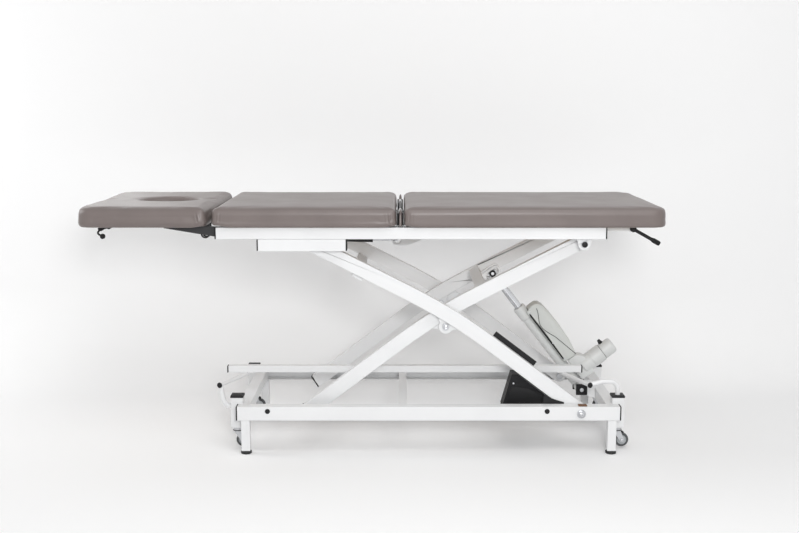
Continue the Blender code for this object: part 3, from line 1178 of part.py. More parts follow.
def make_head_section(head, pads, plug, plug_carrier):
    outer = TOP_RAIL_INNER - FIT - PIN_PLAY
    inner = outer - HEAD_ARM_THICKNESS
    tip = HEAD_HINGE_X - HEAD_ARM_LENGTH
    radius = TOP_RAIL_TOP - HEAD_HINGE_Z - 4 * FIT
    outline = arc((HEAD_HINGE_X, HEAD_HINGE_Z), radius, 90, -120, 10)
    outline += [(tip, TOP_RAIL_TOP - 0.35 * radius), (tip, TOP_RAIL_TOP),
                (HEAD_PAD_RIGHT - BOARD_INSET, TOP_RAIL_TOP)]
    arms = extruded("head_arms", outline, "Y", *span(-1, outer, inner))
    far = extruded("head_arm_far", outline, "Y", *span(1, outer, inner))
    tie_x = HEAD_PAD_RIGHT - BOARD_INSET - CROSS_WIDTH
    tie = block("head_tie", (tie_x, -inner - OVERLAP, TOP_RAIL_TOP - 0.6 * CROSS_HEIGHT),
                (tie_x + CROSS_WIDTH, inner + OVERLAP, TOP_RAIL_TOP - OVERLAP / 4))
    hole = SPRING_PIN_RADIUS + HEAD_EYE_PLAY
    lugs = spring_lugs("head_section", hanging(HEAD_SPRING_ARM_X, HEAD_SPRING_ARM_Z, TOP_RAIL_TOP - OVERLAP,
                                               hole + MAIN_LUG_RIM))
    join(arms, far, tie, *lugs)
    cut(arms, through("head_arm_bore", HEAD_HINGE_X, HEAD_HINGE_Z, -RAIL_OUTER, RAIL_OUTER,
                      HEAD_HINGE_RADIUS + PIN_PLAY),
        through("head_eye_hole", HEAD_SPRING_ARM_X, HEAD_SPRING_ARM_Z, -RAIL_OUTER, RAIL_OUTER, hole))
    finish(arms, "black_paint")
    for thing in (arms, *pads):
        mount(thing, head)
    mount(plug, plug_carrier)


def make_gas_spring(tag, frame_point, arm_point, cylinder_carrier, rod_carrier):
    """A lockable gas spring from a pin on the upper frame to a pin on a section."""
    start = Vector((frame_point[0], 0, frame_point[1]))
    end = Vector((arm_point[0], 0, arm_point[1]))
    along = (end - start).normalized()
    length = (end - start).length
    half = SPRING_TUBE_RADIUS
    mouth = start + along * length * SPRING_TUBE_SHARE
    body = cylinder(tag + "_spring_cylinder", start + along * half * 0.5, mouth, SPRING_TUBE_RADIUS, 12)
    eye = through(tag + "_spring_eye", start.x, start.z, -half, half, half)
    join(body, eye)
    pin_half = half + 2 * PIN_PLAY + 3 * SPRING_PIN_RADIUS
    pin = through(tag + "_spring_pin", start.x, start.z, -pin_half, pin_half, SPRING_PIN_RADIUS - FIT)
    join(body, pin)
    cut(body, cylinder(tag + "_spring_bore", start + along * 2 * half, mouth + along * half,
                       SPRING_BORE_RADIUS, 12))
    rod = cylinder(tag + "_spring_rod", mouth - along * length * SPRING_TUBE_SHARE * SPRING_ROD_HIDDEN, end,
                   SPRING_ROD_RADIUS, 12)
    end_pin = through(tag + "_spring_end_pin", end.x, end.z, -half - 3 * SPRING_PIN_RADIUS,
                      half + 3 * SPRING_PIN_RADIUS,
                      SPRING_PIN_RADIUS)
    join(rod, end_pin)
    finish(body, "black_paint")
    finish(rod, "zinc")
    mount(body, cylinder_carrier)
    mount(rod, rod_carrier)


def make_levers(main_lever, head_lever):
    base = pivots["main_lever_pivot"]
    reach = Vector((MAIN_LEVER_REACH, 0, -MAIN_LEVER_DROP))
    half = Vector((0, LEVER_CLAMP_HALF, 0))
    clamp = cylinder("main_release_lever", base - half, base + half, 1.3 * LEVER_GRIP_RADIUS, 14)
    stalk = cylinder("main_lever_stalk", base, base + reach * 0.4, LEVER_RADIUS, 12)
    grip = cylinder("main_lever_grip", base + reach * 0.34, base + reach, LEVER_GRIP_RADIUS, 12)
    join(clamp, stalk, grip)
    finish(clamp, "black_plastic")
    mount(clamp, main_lever)
    base = pivots["head_lever_pivot"]
    half = Vector((0, HEAD_CLAMP_HALF, 0))
    clamp = cylinder("head_release_lever", base - half, base + half, LEVER_GRIP_RADIUS, 14)
    reach = Vector((-HEAD_LEVER_REACH, 0, -HEAD_LEVER_DROP))
    stalk = cylinder("head_lever_stalk", base, base + reach, LEVER_RADIUS * 0.8, 12)
    half = Vector((0, HEAD_KNOB_HALF, 0))
    middle = base + reach * 0.7 - Vector((0, 0, OVERLAP))
    knob = cylinder("head_lever_knob", middle - half, middle + half, LEVER_RADIUS, 12)
    join(clamp, stalk, knob)
    finish(clamp, "black_plastic")
    mount(clamp, head_lever)


# Castors and foot bar

def make_foot_bar(castor_lift):
    half = FOOT_BAR_SIDE / 2
    z = FOOT_TIP_Z + FOOT_TUBE_RADIUS + half - OVERLAP
    bar = block("foot_bar", (FOOT_BAR_LEFT, FOOT_BAR_Y - half, z - half),
                (FOOT_BAR_RIGHT, FOOT_BAR_Y + half, z + half))
    entry = arm_entry_z()
    inside = POST_LEFT_X - STEM_RADIUS - 2 * FIT
    left_tip = Vector((FOOT_TIP_LEFT_X, FOOT_TIP_Y, FOOT_TIP_Z))
    left_route = [Vector((FOOT_TIP_LEFT_X + FOOT_SLANT_RUN, FOOT_BAR_Y + half / 2, FOOT_TIP_Z)), left_tip]
    drop = FOOT_TIP_Z - entry
    for turn in (20, 45, 70, 90):
        angle = math.radians(turn)
        left_route.append(Vector((FOOT_TIP_LEFT_X + drop * 0.32 * (1 - math.cos(angle)),
                                  FOOT_TIP_Y - (FOOT_TIP_Y + POST_Y) * turn / 90,
                                  FOOT_TIP_Z - drop * math.sin(angle))))
    left_route.append(Vector((inside, -POST_Y, entry)))
    right_tip = Vector((FOOT_TIP_RIGHT_X, FOOT_TIP_Y, FOOT_TIP_Z))
    right_route = [Vector((FOOT_TIP_RIGHT_X - FOOT_SLANT_RUN, FOOT_BAR_Y + half / 2, FOOT_TIP_Z)),
                   right_tip]
    run = POST_RIGHT_X - FOOT_TIP_RIGHT_X
    right_route.append(Vector((FOOT_TIP_RIGHT_X + 0.45 * run, FOOT_TIP_Y, FOOT_TIP_Z + FOOT_RISE)))
    for turn in (0, 30, 60, 90):
        angle = math.radians(turn)
        right_route.append(Vector((POST_RIGHT_X - FOOT_BEND + FOOT_BEND * math.sin(angle),
                                   FOOT_TIP_Y - (FOOT_TIP_Y + POST_Y) * (turn + 30) / 120,
                                   FOOT_TIP_Z + FOOT_RISE - FOOT_BEND + FOOT_BEND * math.cos(angle))))
    right_route.append(Vector((POST_RIGHT_X, -POST_Y, POST_TOP - 2 * STEM_RADIUS)))
    pieces = [tube("foot_tube_left", left_route, FOOT_TUBE_RADIUS),
              tube("foot_tube_right", right_route, FOOT_TUBE_RADIUS - FIT)]
    join(bar, *pieces)
    finish(bar, "white_paint")
    mount(bar, castor_lift)


def make_castors(castor_lift):
    for end_name, end in ENDS.items():
        x = POST_LEFT_X if end < 0 else POST_RIGHT_X
        stem_top = POST_TOP - 2 * STEM_RADIUS - FIT
        tie = block("castor_carrier_" + end_name,
                    (x - TIE_BAR_WIDTH / 2, -POST_Y, CASTOR_HEAD_TOP - TIE_BAR_HEIGHT),
                    (x + TIE_BAR_WIDTH / 2, POST_Y, CASTOR_HEAD_TOP - OVERLAP / 4))
        stems = []
        for name, side in SIDES.items():
            tag = f"_{name}_{end_name}"
            y = side * POST_Y
            stems.append(turned("castor_stem" + tag,
                                [(0, stem_top), (STEM_RADIUS, stem_top), (STEM_RADIUS, CASTOR_HEAD_TOP),
                                                      (CASTOR_HEAD_RADIUS, CASTOR_HEAD_TOP),
                                 (CASTOR_HEAD_RADIUS, CASTOR_HEAD_BOTTOM),
                                                      (0, CASTOR_HEAD_BOTTOM)], (x, y, 0), (0, 0, 1)))
            swivel = pivot("swivel" + tag, (x, y, CASTOR_HEAD_BOTTOM), castor_lift)
            spin = pivot("spin" + tag, (x + CASTOR_TRAIL, y, WHEEL_Z), swivel)
            make_castor(tag, x, y, swivel, spin)
        join(tie, *stems)
        finish(tie, "zinc")
        mount(tie, castor_lift)


def make_castor(tag, x, y, swivel, spin):
    crown_top = CASTOR_HEAD_BOTTOM - FIT
    crown_low = crown_top - CASTOR_CROWN_HEIGHT
    half_gap = WHEEL_WIDTH / 2 + 2 * PIN_PLAY
    axle_x = x + CASTOR_TRAIL
    fork = cylinder("castor_fork" + tag, (x, y, crown_low), (x, y, crown_top), CASTOR_HEAD_RADIUS * 0.94)
    pieces = []
    outline = arc((axle_x, WHEEL_Z), 2 * AXLE_RADIUS, 200, 380, 8)
    shoulder = 0.7 * CASTOR_HEAD_RADIUS
    shoulder_z = crown_low + CASTOR_CROWN_HEIGHT / 2
    outline += [(x + shoulder, shoulder_z), (x - shoulder, shoulder_z)]
    for name, side in SIDES.items():
        plate_low, plate_high = sorted((y + side * half_gap, y + side * (half_gap + FORK_PLATE)))
        pieces.append(extruded(f"fork_plate_{name}" + tag, outline, "Y", plate_low, plate_high))
    reach = half_gap + 1.6 * FORK_PLATE
    pieces.append(cylinder("fork_axle" + tag, (axle_x, y - reach, WHEEL_Z), (axle_x, y + reach, WHEEL_Z),
                           AXLE_RADIUS, 12))
    join(fork, *pieces)
    finish(fork, "zinc")
    mount(fork, swivel)
    radius = WHEEL_DIAMETER / 2
    half = WHEEL_WIDTH / 2
    bore = AXLE_RADIUS + PIN_PLAY
    rim = 0.66 * radius
    wheel = turned("castor_wheel" + tag, [
        (bore, half), (1.8 * bore, half), (rim, 0.8 * half), (0.88 * radius, 0.8 * half),
        (radius, 0.4 * half),
        (radius, -0.4 * half), (0.88 * radius, -0.8 * half), (rim, -0.8 * half), (1.8 * bore, -half),
        (bore, -half)], (axle_x, y, WHEEL_Z), (0, 1, 0), closed=True)
    finish(wheel, "rubber")
    mount(wheel, spin)


def build():
    outer_arms = pivot("outer_arms_pivot", (FIXED_PIVOT_X, 0, LOWER_PIVOT_Z))
    inner_arms = pivot("inner_arms_pivot", (CENTRE_X, 0, CENTRE_Z), outer_arms)
    top = pivot("top_pivot", (FIXED_PIVOT_X, 0, UPPER_PIVOT_Z), inner_arms)
    upper_rollers = pivot("upper_rollers_pivot", (ROLLER_X, 0, UPPER_PIVOT_Z), outer_arms)
    lower_rollers = pivot("lower_rollers_pivot", (ROLLER_X, 0, LOWER_PIVOT_Z), inner_arms)
    actuator = pivot("actuator_pivot", (ACTUATOR_FOOT_X, 0, ACTUATOR_FOOT_Z))
    rod_carrier = pivot("actuator_rod_pivot", (ACTUATOR_EYE_X, 0, ACTUATOR_EYE_Z), actuator)
    head = pivot("head_pivot", (HEAD_HINGE_X, 0, HEAD_HINGE_Z), top)
    plug_carrier = pivot("face_plug_pivot", (FACE_HOLE_X, 0, PAD_BOTTOM + BOARD_THICKNESS), head)
    main = pivot("main_pivot", (MAIN_HINGE_X, 0, MAIN_HINGE_Z), top)
    head_spring = pivot("head_spring_pivot", (HEAD_SPRING_FRAME_X, 0, HEAD_SPRING_FRAME_Z), top)
    head_rod = pivot("head_rod_pivot", (HEAD_SPRING_ARM_X, 0, HEAD_SPRING_ARM_Z), head_spring)
    main_spring = pivot("main_spring_pivot", (MAIN_SPRING_FRAME_X, 0, MAIN_SPRING_FRAME_Z), top)
    main_rod = pivot("main_rod_pivot", (MAIN_SPRING_ARM_X, 0, MAIN_SPRING_ARM_Z), main_spring)
    lever_y = -MAIN_FRAME_HALF_WIDTH - LEVER_CLAMP_HALF - FIT
    lever_z = PAD_BOTTOM - 1.3 * LEVER_GRIP_RADIUS - 2 * FIT
    main_lever = pivot("main_lever_pivot", (MAIN_FRAME_RIGHT - MAIN_FRAME_SIDE / 2, lever_y, lever_z), main)
    head_lever_x = -HALF_LENGTH + BOARD_INSET + HEAD_LEVER_SET_IN
    head_lever_z = PAD_BOTTOM - LEVER_GRIP_RADIUS - FIT
    head_lever = pivot("head_lever_pivot", (head_lever_x, -HALF_WIDTH + HEAD_LEVER_FROM_SIDE, head_lever_z),
                       head)
    castor_lift = pivot("castor_lift_pivot", (0, 0, POST_TOP))
    make_base()
    make_guards(outer_arms)
    make_arms(outer_arms, inner_arms)
    make_pivot_bolts(outer_arms, top)
    make_rollers(upper_rollers, lower_rollers)
    make_actuator(actuator, rod_carrier)
    make_top_frame(top)
    pads, plug = make_pads()
    for thing in pads["middle"]:
        mount(thing, top)
    make_main_section(main, pads["main"])
    make_head_section(head, pads["head"], plug, plug_carrier)
    make_gas_spring("head", (HEAD_SPRING_FRAME_X, HEAD_SPRING_FRAME_Z),
                    (HEAD_SPRING_ARM_X, HEAD_SPRING_ARM_Z), head_spring,
                    head_rod)
    make_gas_spring("main", (MAIN_SPRING_FRAME_X, MAIN_SPRING_FRAME_Z),
                    (MAIN_SPRING_ARM_X, MAIN_SPRING_ARM_Z), main_spring,
                    main_rod)
    make_levers(main_lever, head_lever)
    make_foot_bar(castor_lift)
    make_castors(castor_lift)


build()
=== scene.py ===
"""Looks of the treatment table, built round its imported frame.

Metres, +Z up.  The head end is at -X, the near long side at -Y and the floor at z = 0.
"""
import math

import bmesh
import bpy
import numpy as np
from mathutils import Matrix, Vector, noise
from mathutils.bvhtree import BVHTree


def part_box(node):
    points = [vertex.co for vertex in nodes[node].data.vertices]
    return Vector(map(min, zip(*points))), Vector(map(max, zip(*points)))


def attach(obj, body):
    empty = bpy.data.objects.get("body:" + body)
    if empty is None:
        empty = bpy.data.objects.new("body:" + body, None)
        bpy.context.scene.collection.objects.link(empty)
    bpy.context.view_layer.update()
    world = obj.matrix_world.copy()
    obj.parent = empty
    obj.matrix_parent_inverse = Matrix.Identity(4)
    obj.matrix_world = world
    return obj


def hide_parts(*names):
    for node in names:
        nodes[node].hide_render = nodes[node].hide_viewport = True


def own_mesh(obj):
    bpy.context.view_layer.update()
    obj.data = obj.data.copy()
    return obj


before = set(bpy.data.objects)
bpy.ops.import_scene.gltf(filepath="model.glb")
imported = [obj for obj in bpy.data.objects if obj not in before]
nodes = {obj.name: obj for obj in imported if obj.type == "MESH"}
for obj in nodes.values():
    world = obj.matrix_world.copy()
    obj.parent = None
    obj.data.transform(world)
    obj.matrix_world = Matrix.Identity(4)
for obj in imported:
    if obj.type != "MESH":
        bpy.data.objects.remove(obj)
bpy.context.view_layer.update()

# The photograph's frame and camera
PHOTO_WIDTH = 799
FOCAL_PIXELS = 1100
SENSOR_WIDTH = 36.0
CAMERA_PLACE = (0.093, -4.0, 1.238)
CAMERA_DROP = 8.81

# Sizes of the table that the looks need
PAD_BOTTOM = 0.798
PAD_TOP = 0.868
PAD_WIDTH = 0.650
PAD_SPANS = {"head": (-1.004, -0.559), "middle": (-0.546, 0.0860), "main": (0.1050, 1.004)}
PAD_BODIES = {"head": "head", "middle": "top", "main": "main"}
PAD_CORNER = 0.056
JOINED_CORNER = 0.020
PAD_EDGE = 0.019
PAD_LOW_EDGE = 0.010
STUFFING = 0.002
SIDE_BAND = 0.030
SIDE_DRAW = 0.0025
SIDE_BELLY = 0.0008
CREASE_REACH = (0.050, 0.055)
CREASE_DEPTH = 0.0026
CREASE_PITCH = 560
TIP_LIFT = 0.010
ARM_ROOM = 0.007
ARM_ROOM_REACH = 0.060
LUMPS = 0.0008
MAIN_HINGE_Z = 0.842
# Painted shade: near-black blocks that darken the gap between the middle and main pads, at both long sides
GAP_SHADE_BLOCKS = {"middle": (0.0850, 0.1000), "main": (0.1006, 0.1060)}
GAP_SHADE_BLOCK_Y = (0.244, 0.266)
GAP_FOLD = (0.0965, 0.0048)
FOLD_BOTTOM = PAD_BOTTOM + 0.006
FOLD_SETBACK = 0.007
FOLD_LENGTH = 0.050
STAPLE_INSET = 0.038
STAPLE_PITCH = 0.045
FACE_HOLE = (-0.744, 0.215, 0.165)
RAIL_OUTER = 0.300
RAIL_WIDTH = 0.040
TOP_RAIL = (-0.530, 0.793)
TOP_RAIL_Z = (0.7577, 0.7977)
TRACK = (-0.388, -0.090)
TRACK_Z = (0.7167, 0.7577)
BASE_RAIL = (-0.472, 0.860)
BASE_RAIL_Z = (0.121, 0.171)
RAIL_PLUGS = (-0.366, 0.606)
RAIL_PLUG_Z = 0.155
POSTS_X = {"left": -0.480, "right": 0.864}
POST_Y = 0.224
POST_SIDE = 0.043
POST_TOP = 0.188
FIXED_PIVOT_X = 0.725
ROLLER_X = -0.216
LOWER_PIVOT_Z = 0.146
UPPER_PIVOT_Z = 0.7372
SCISSOR_CENTRE = Vector((0.2545, 0, 0.4416))
ARM_LEAN = math.atan2(UPPER_PIVOT_Z - LOWER_PIVOT_Z, FIXED_PIVOT_X - ROLLER_X)
INNER_ARM_Y = 0.205
ACTUATOR_FOOT = Vector((0.768, 0, 0.162))
ACTUATOR_EYE = Vector((0.433, 0, 0.597))
FOOT_BAR_Y = -0.075
FOOT_BAR = (-0.532, 0.757)
FOOT_TIPS = (-0.536, 0.760)
FOOT_TIP_Y = -0.235
FOOT_TIP_Z = 0.233
MOTOR_AXIS = 0.059
MAIN_LEVER = ((0.895, -0.2503, 0.787), (0.988, -0.2503, 0.735))
HEAD_LEVER = (-0.915, -0.2, 0.7897)
GUARD_FACE_Y = -0.180
SIDES = {"near": -1, "far": 1}
ENDS = ("left", "right")
GAP = 0.0003
CAP = 0.0045
SMOOTH_ANGLE = 35

# Cloth simulation of the pads
VOXEL = 0.0085
HELD_HEIGHT = 0.010
PRESSURE = 3.0
STIFFNESS = 25
BENDING = 3
SIM_FRAMES = 20
SWELL_LIMIT = 1.6 * STUFFING

# Light: paper, level of the surroundings, and softboxes as (name, place, target, size, watts, spread)
PAPER_REACH = 9.0
WALL_TOP = 6.0
WALL_Y = 0.85
SWEEP_RADIUS = 0.40
PAPER = (0.88, 0.88, 0.885, 1)
PAPER_SEEN = (1.0, 1.0, 1.0, 1)
WORLD_LEVEL = 0.42
LAMPS = (("key_softbox", (0.5, -4.6, 1.8), (0.1, 0, 0.5), 0.8, 77, 180),
         ("front_softbox", (0.8, -2.2, 3.4), (0.3, -0.5, 0.1), 2.4, 36, 180),
         ("left_softbox", (-3.2, 0.2, 1.7), (-0.8, 0.2, 0.85), 1.0, 19, 180),
         ("head_strip", (-1.15, 0.70, 1.15), (-0.80, 0, 0.86), 0.9, 0.55, 95))

# From a flat outline (u, v) and a distance w along an axis to x, y, z
TO_SPACE = {"X": lambda u, v, w: (w, u, v), "Y": lambda u, v, w: (u, w, v), "Z": lambda u, v, w: (u, v, w)}


# Mesh making

def box_into(bm, low, high, edge=0.002, steps=2, turn=None):
    """Adds a box with rounded edges; a matrix can turn it about its own middle."""
    low = Vector(low)
    high = Vector(high)
    made = bmesh.new()
    bmesh.ops.create_cube(made, size=1.0)
    bmesh.ops.transform(made, matrix=Matrix.Diagonal((*(high - low), 1)), verts=made.verts)
    if edge:
        bmesh.ops.bevel(made, geom=made.edges[:], offset=edge, segments=steps, profile=0.5, affect="EDGES")
    place = Matrix.Translation((low + high) / 2)
    if turn is not None:
        place = place @ turn
    bmesh.ops.transform(made, matrix=place, verts=made.verts)
    merge_into(bm, made)


def mesh_of(name, bm):
    """Closes a mesh that was being built."""
    mesh = bpy.data.meshes.new(name)
    bm.to_mesh(mesh)
    bm.free()
    return mesh


def merge_into(bm, made):
    """Moves a finished shell into a mesh that is being built."""
    mesh = mesh_of("shell", made)
    bm.from_mesh(mesh)
    bpy.data.meshes.remove(mesh)


def circle(radius, count):
    angles = [2 * math.pi * i / count for i in range(count)]
    return [(radius * math.cos(a), radius * math.sin(a)) for a in angles]


def skin_rings(bm, rings):
    """Adds strips of faces between rings that have as many points each."""
    for first, second in zip(rings, rings[1:]):
        for i in range(len(first)):
            j = (i + 1) % len(first)
            bm.faces.new((first[i], first[j], second[j], second[i]))


def reach_of(side, inner, outer):
    """Low and high y of what lies between two distances from the middle, on one side."""
    return sorted((side * inner, side * outer))


def lathe_into(bm, profile, place, axis, steps=32):
    """Adds a turned shape: (radius, distance) pairs from one end of the axis to the other."""
    made = bmesh.new()
    rings = []
    for radius, distance in profile:
        if radius < 1e-6:
            rings.append([made.verts.new((0, 0, distance))])
        else:
            rings.append([made.verts.new((x, y, distance)) for x, y in circle(radius, steps)])
    for first, second in zip(rings, rings[1:]):
        for i in range(steps):
            j = (i + 1) % steps
            corners = [first[i % len(first)], first[j % len(first)]]
            corners += [second[j % len(second)], second[i % len(second)]]
            unique = list(dict.fromkeys(corners))
            if len(unique) > 2:
                made.faces.new(unique)
    for ring in (rings[0], rings[-1]):
        if len(ring) > 1 and not ring_closed(profile):
            made.faces.new(ring)
    if ring_closed(profile):
        bmesh.ops.remove_doubles(made, verts=made.verts, dist=1e-6)
    bmesh.ops.recalc_face_normals(made, faces=made.faces)
    turn = Vector(axis).to_track_quat("Z", "Y").to_matrix().to_4x4()
    bmesh.ops.transform(made, matrix=Matrix.Translation(place) @ turn, verts=made.verts)
    merge_into(bm, made)


def ring_closed(profile):
    """A profile that ends where it starts makes a ring with a hole."""
    return len(profile) > 2 and (Vector(profile[0]) - Vector(profile[-1])).length < 1e-7


def plate_into(bm, outline, axis, low, high, edge=0.001, steps=2):
    """Adds a flat outline with a thickness along Y (outline in x, z), X (y, z) or Z (x, y)."""
    to_space = TO_SPACE[axis]
    made = bmesh.new()
    first = [made.verts.new(to_space(u, v, low)) for u, v in outline]
    second = [made.verts.new(to_space(u, v, high)) for u, v in outline]
    made.faces.new(first)
    made.faces.new(second)
    skin_rings(made, (first, second))
    bmesh.ops.recalc_face_normals(made, faces=made.faces)
    if edge:
        rims = [e for e in made.edges if e.calc_face_angle(0) > math.radians(SMOOTH_ANGLE)]
        bmesh.ops.bevel(made, geom=rims, offset=edge, segments=steps, profile=0.5, affect="EDGES",
                        clamp_overlap=True)
    merge_into(bm, made)


def inset_outline(outline, distance):
    """The outline drawn in by a distance, corner by corner."""
    count = len(outline)
    area = sum(a[0] * b[1] - b[0] * a[1] for a, b in zip(outline, outline[1:] + outline[:1]))
    way = math.copysign(1, area)
    result = []
    for i in range(count):
        here = Vector(outline[i])
        first = (here - Vector(outline[i - 1])).normalized()
        second = (Vector(outline[(i + 1) % count]) - here).normalized()
        inward = Vector((-first.y, first.x)) * way
        middle = inward + Vector((-second.y, second.x)) * way
        middle.normalize()
        result.append(tuple(here + middle * (distance / max(0.5, middle.dot(inward)))))
    return result


def rounded_plate_into(bm, outline, axis, low, high, low_edge, high_edge, steps=5):
    """Adds a flat outline with a thickness whose two rims are rounded; axes as for plate_into."""
    to_space = TO_SPACE[axis]
    rows = []
    for k in range(steps + 1):
        angle = math.radians(90 * k / steps)
        rows.append((low_edge * (1 - math.sin(angle)), low + low_edge * (1 - math.cos(angle))))
    for k in range(steps + 1):
        angle = math.radians(90 * k / steps)
        rows.append((high_edge * (1 - math.cos(angle)), high - high_edge * (1 - math.sin(angle))))
    made = bmesh.new()
    rings = []
    for inset, level in rows:
        rings.append([made.verts.new(to_space(u, v, level)) for u, v in inset_outline(outline, inset)])
    skin_rings(made, rings)
    made.faces.new(rings[0])
    made.faces.new(rings[-1])
    bmesh.ops.remove_doubles(made, verts=made.verts, dist=1e-6)
    bmesh.ops.recalc_face_normals(made, faces=made.faces)
    merge_into(bm, made)


def tube_into(bm, points, radius, steps=20):
    """Adds a round tube along points, with flat ends."""
    points = [Vector(p) for p in points]
    made = bmesh.new()
    rings = []
    side = None
    for i, point in enumerate(points):
        ahead = points[min(i + 1, len(points) - 1)] - points[max(i - 1, 0)]
        ahead.normalize()
        if side is None:
            side = ahead.orthogonal().normalized()
        side = (side - ahead * side.dot(ahead)).normalized()
        other = ahead.cross(side)
        rings.append([made.verts.new(point + radius * (c * side + s * other)) for c,
                      s in circle(1.0, steps)])
    skin_rings(made, rings)
    made.faces.new(rings[0])
    made.faces.new(rings[-1])
    bmesh.ops.recalc_face_normals(made, faces=made.faces)
    merge_into(bm, made)


def smooth_route(points, per_leg=8):
    """A rounded route through points."""
    points = [Vector(p) for p in points]
    route = []
    last = len(points) - 1
    for i in range(last):
        before = points[max(i - 1, 0)]
        after = points[min(i + 2, last)]
        for k in range(per_leg):
            t = k / per_leg
            a = points[i] * 2
            b = (points[i + 1] - before) * t
            c = (before * 2 - points[i] * 5 + points[i + 1] * 4 - after) * t * t
            d = (points[i] * 3 - before - points[i + 1] * 3 + after) * t * t * t
            route.append((a + b + c + d) / 2)
    route.append(points[-1])
    return route


def arc(middle, radius, start, end, count):
    points = []
    for i in range(count + 1):
        angle = math.radians(start + (end - start) * i / count)
        points.append((middle[0] + radius * math.cos(angle), middle[1] + radius * math.sin(angle)))
    return points


def placed(name, data):
    """A new object in the scene."""
    thing = bpy.data.objects.new(name, data)
    bpy.context.scene.collection.objects.link(thing)
    return thing


def loose(name, bm):
    """An object that is still being worked on."""
    return placed(name, mesh_of(name, bm))


def evaluated(thing):
    """The mesh that an object's modifiers make."""
    return bpy.data.meshes.new_from_object(thing.evaluated_get(bpy.context.evaluated_depsgraph_get()))


def finished(name, bm, material, body, replaces=(), smooth_angle=SMOOTH_ANGLE):
    """Turns a built mesh into a piece of the table."""
    return dress(name, mesh_of(name, bm), material, body, replaces, smooth_angle)


def dress(name, mesh, material, body, replaces=(), smooth_angle=SMOOTH_ANGLE):
    """Gives a mesh its finish, and its place among the bodies of the table."""
    thing = placed(name, mesh)
    mesh.materials.clear()
    mesh.materials.append(material)
    mesh.shade_smooth()
    mesh.set_sharp_from_angle(angle=math.radians(smooth_angle))
    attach(thing, body)
    if replaces:
        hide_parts(*replaces)
    return thing


def edges_broken(node, edge, steps, flat, clamp):
    """The mesh of a CAD node with its sharp edges rounded; flat first joins the triangles of flat faces."""
    bm = bmesh.new()
    bm.from_mesh(nodes[node].data)
    bmesh.ops.remove_doubles(bm, verts=bm.verts, dist=2e-6)
    if flat:
        bmesh.ops.dissolve_limit(bm, angle_limit=math.radians(0.5), verts=bm.verts, edges=bm.edges)
    holder = loose(node + "_holder", bm)
    bevel = holder.modifiers.new("edges", "BEVEL")
    bevel.width = edge
    bevel.segments = steps
    bevel.limit_method = "ANGLE"
    bevel.angle_limit = math.radians(50)
    bevel.use_clamp_overlap = clamp
    bevel.loop_slide = False
    plain = evaluated(holder)
    bpy.data.objects.remove(holder, do_unlink=True)
    return plain


def strays(node, mesh, limit):
    """Whether a face of a rounded mesh leaves the surface of its CAD node."""
    solid = nodes[node].data
    corners = [vert.co for vert in solid.vertices]
    tree = BVHTree.FromPolygons(corners, [face.vertices for face in solid.polygons])
    mesh.calc_loop_triangles()
    return any(tree.find_nearest(face.center)[3] > limit for face in mesh.loop_triangles)


def softened(node, material, body, edge, steps=2):
    """A copy of a CAD node with its edges broken, in its place; left sharp where rounding spoils it."""
    for flat, clamp in ((True, False), (False, False), (False, True)):
        plain = edges_broken(node, edge, steps, flat, clamp)
        if not strays(node, plain, 1.5 * edge):
            break
    else:
        plain = nodes[node].data.copy()
    piece = dress(node + "_piece", plain, material, body, (node,))
    weighted = piece.modifiers.new("normals", "WEIGHTED_NORMAL")
    weighted.weight = 100
    weighted.keep_sharp = True
    piece.data = evaluated(piece)
    piece.modifiers.clear()
    return piece


# Shader groups shared by the finishes

def shader_group(name, inputs):
    """An empty shader group that takes a place and named values, and puts out a height and a tone."""
    tree = bpy.data.node_groups.new(name, "ShaderNodeTree")
    tree.interface.new_socket(name="Place", in_out="INPUT", socket_type="NodeSocketVector")
    for label, value in inputs.items():
        socket = tree.interface.new_socket(name=label, in_out="INPUT", socket_type="NodeSocketFloat")
        socket.default_value = value
    for label in ("Height", "Tone"):
        tree.interface.new_socket(name=label, in_out="OUTPUT", socket_type="NodeSocketFloat")
    return tree, tree.nodes.new("NodeGroupInput"), tree.nodes.new("NodeGroupOutput")


def noise_in(tree, source, scale, detail, roughness=0.5):
    texture = tree.nodes.new("ShaderNodeTexNoise")
    texture.inputs["Detail"].default_value = detail
    texture.inputs["Roughness"].default_value = roughness
    tree.links.new(source.outputs["Place"], texture.inputs["Vector"])
    if isinstance(scale, str):
        tree.links.new(source.outputs[scale], texture.inputs["Scale"])
    else:
        texture.inputs["Scale"].default_value = scale
    return texture


def math_in(tree, operation, first, second):
    step = tree.nodes.new("ShaderNodeMath")
    step.operation = operation
    for number, value in enumerate((first, second)):
        if isinstance(value, (int, float)):
            step.inputs[number].default_value = value
        else:
            tree.links.new(value, step.inputs[number])
    return step.outputs[0]


def make_noise_pair(name, height, tone):
    """A group whose height and tone are one noise each: (input, its value, detail, roughness)."""
    tree, source, sink = shader_group(name, {height[0]: height[1], tone[0]: tone[1]})
    for label, (field, _, detail, roughness) in (("Height", height), ("Tone", tone)):
        made = noise_in(tree, source, field, detail, roughness)
        tree.links.new(made.outputs["Fac"], sink.inputs[label])
    return tree


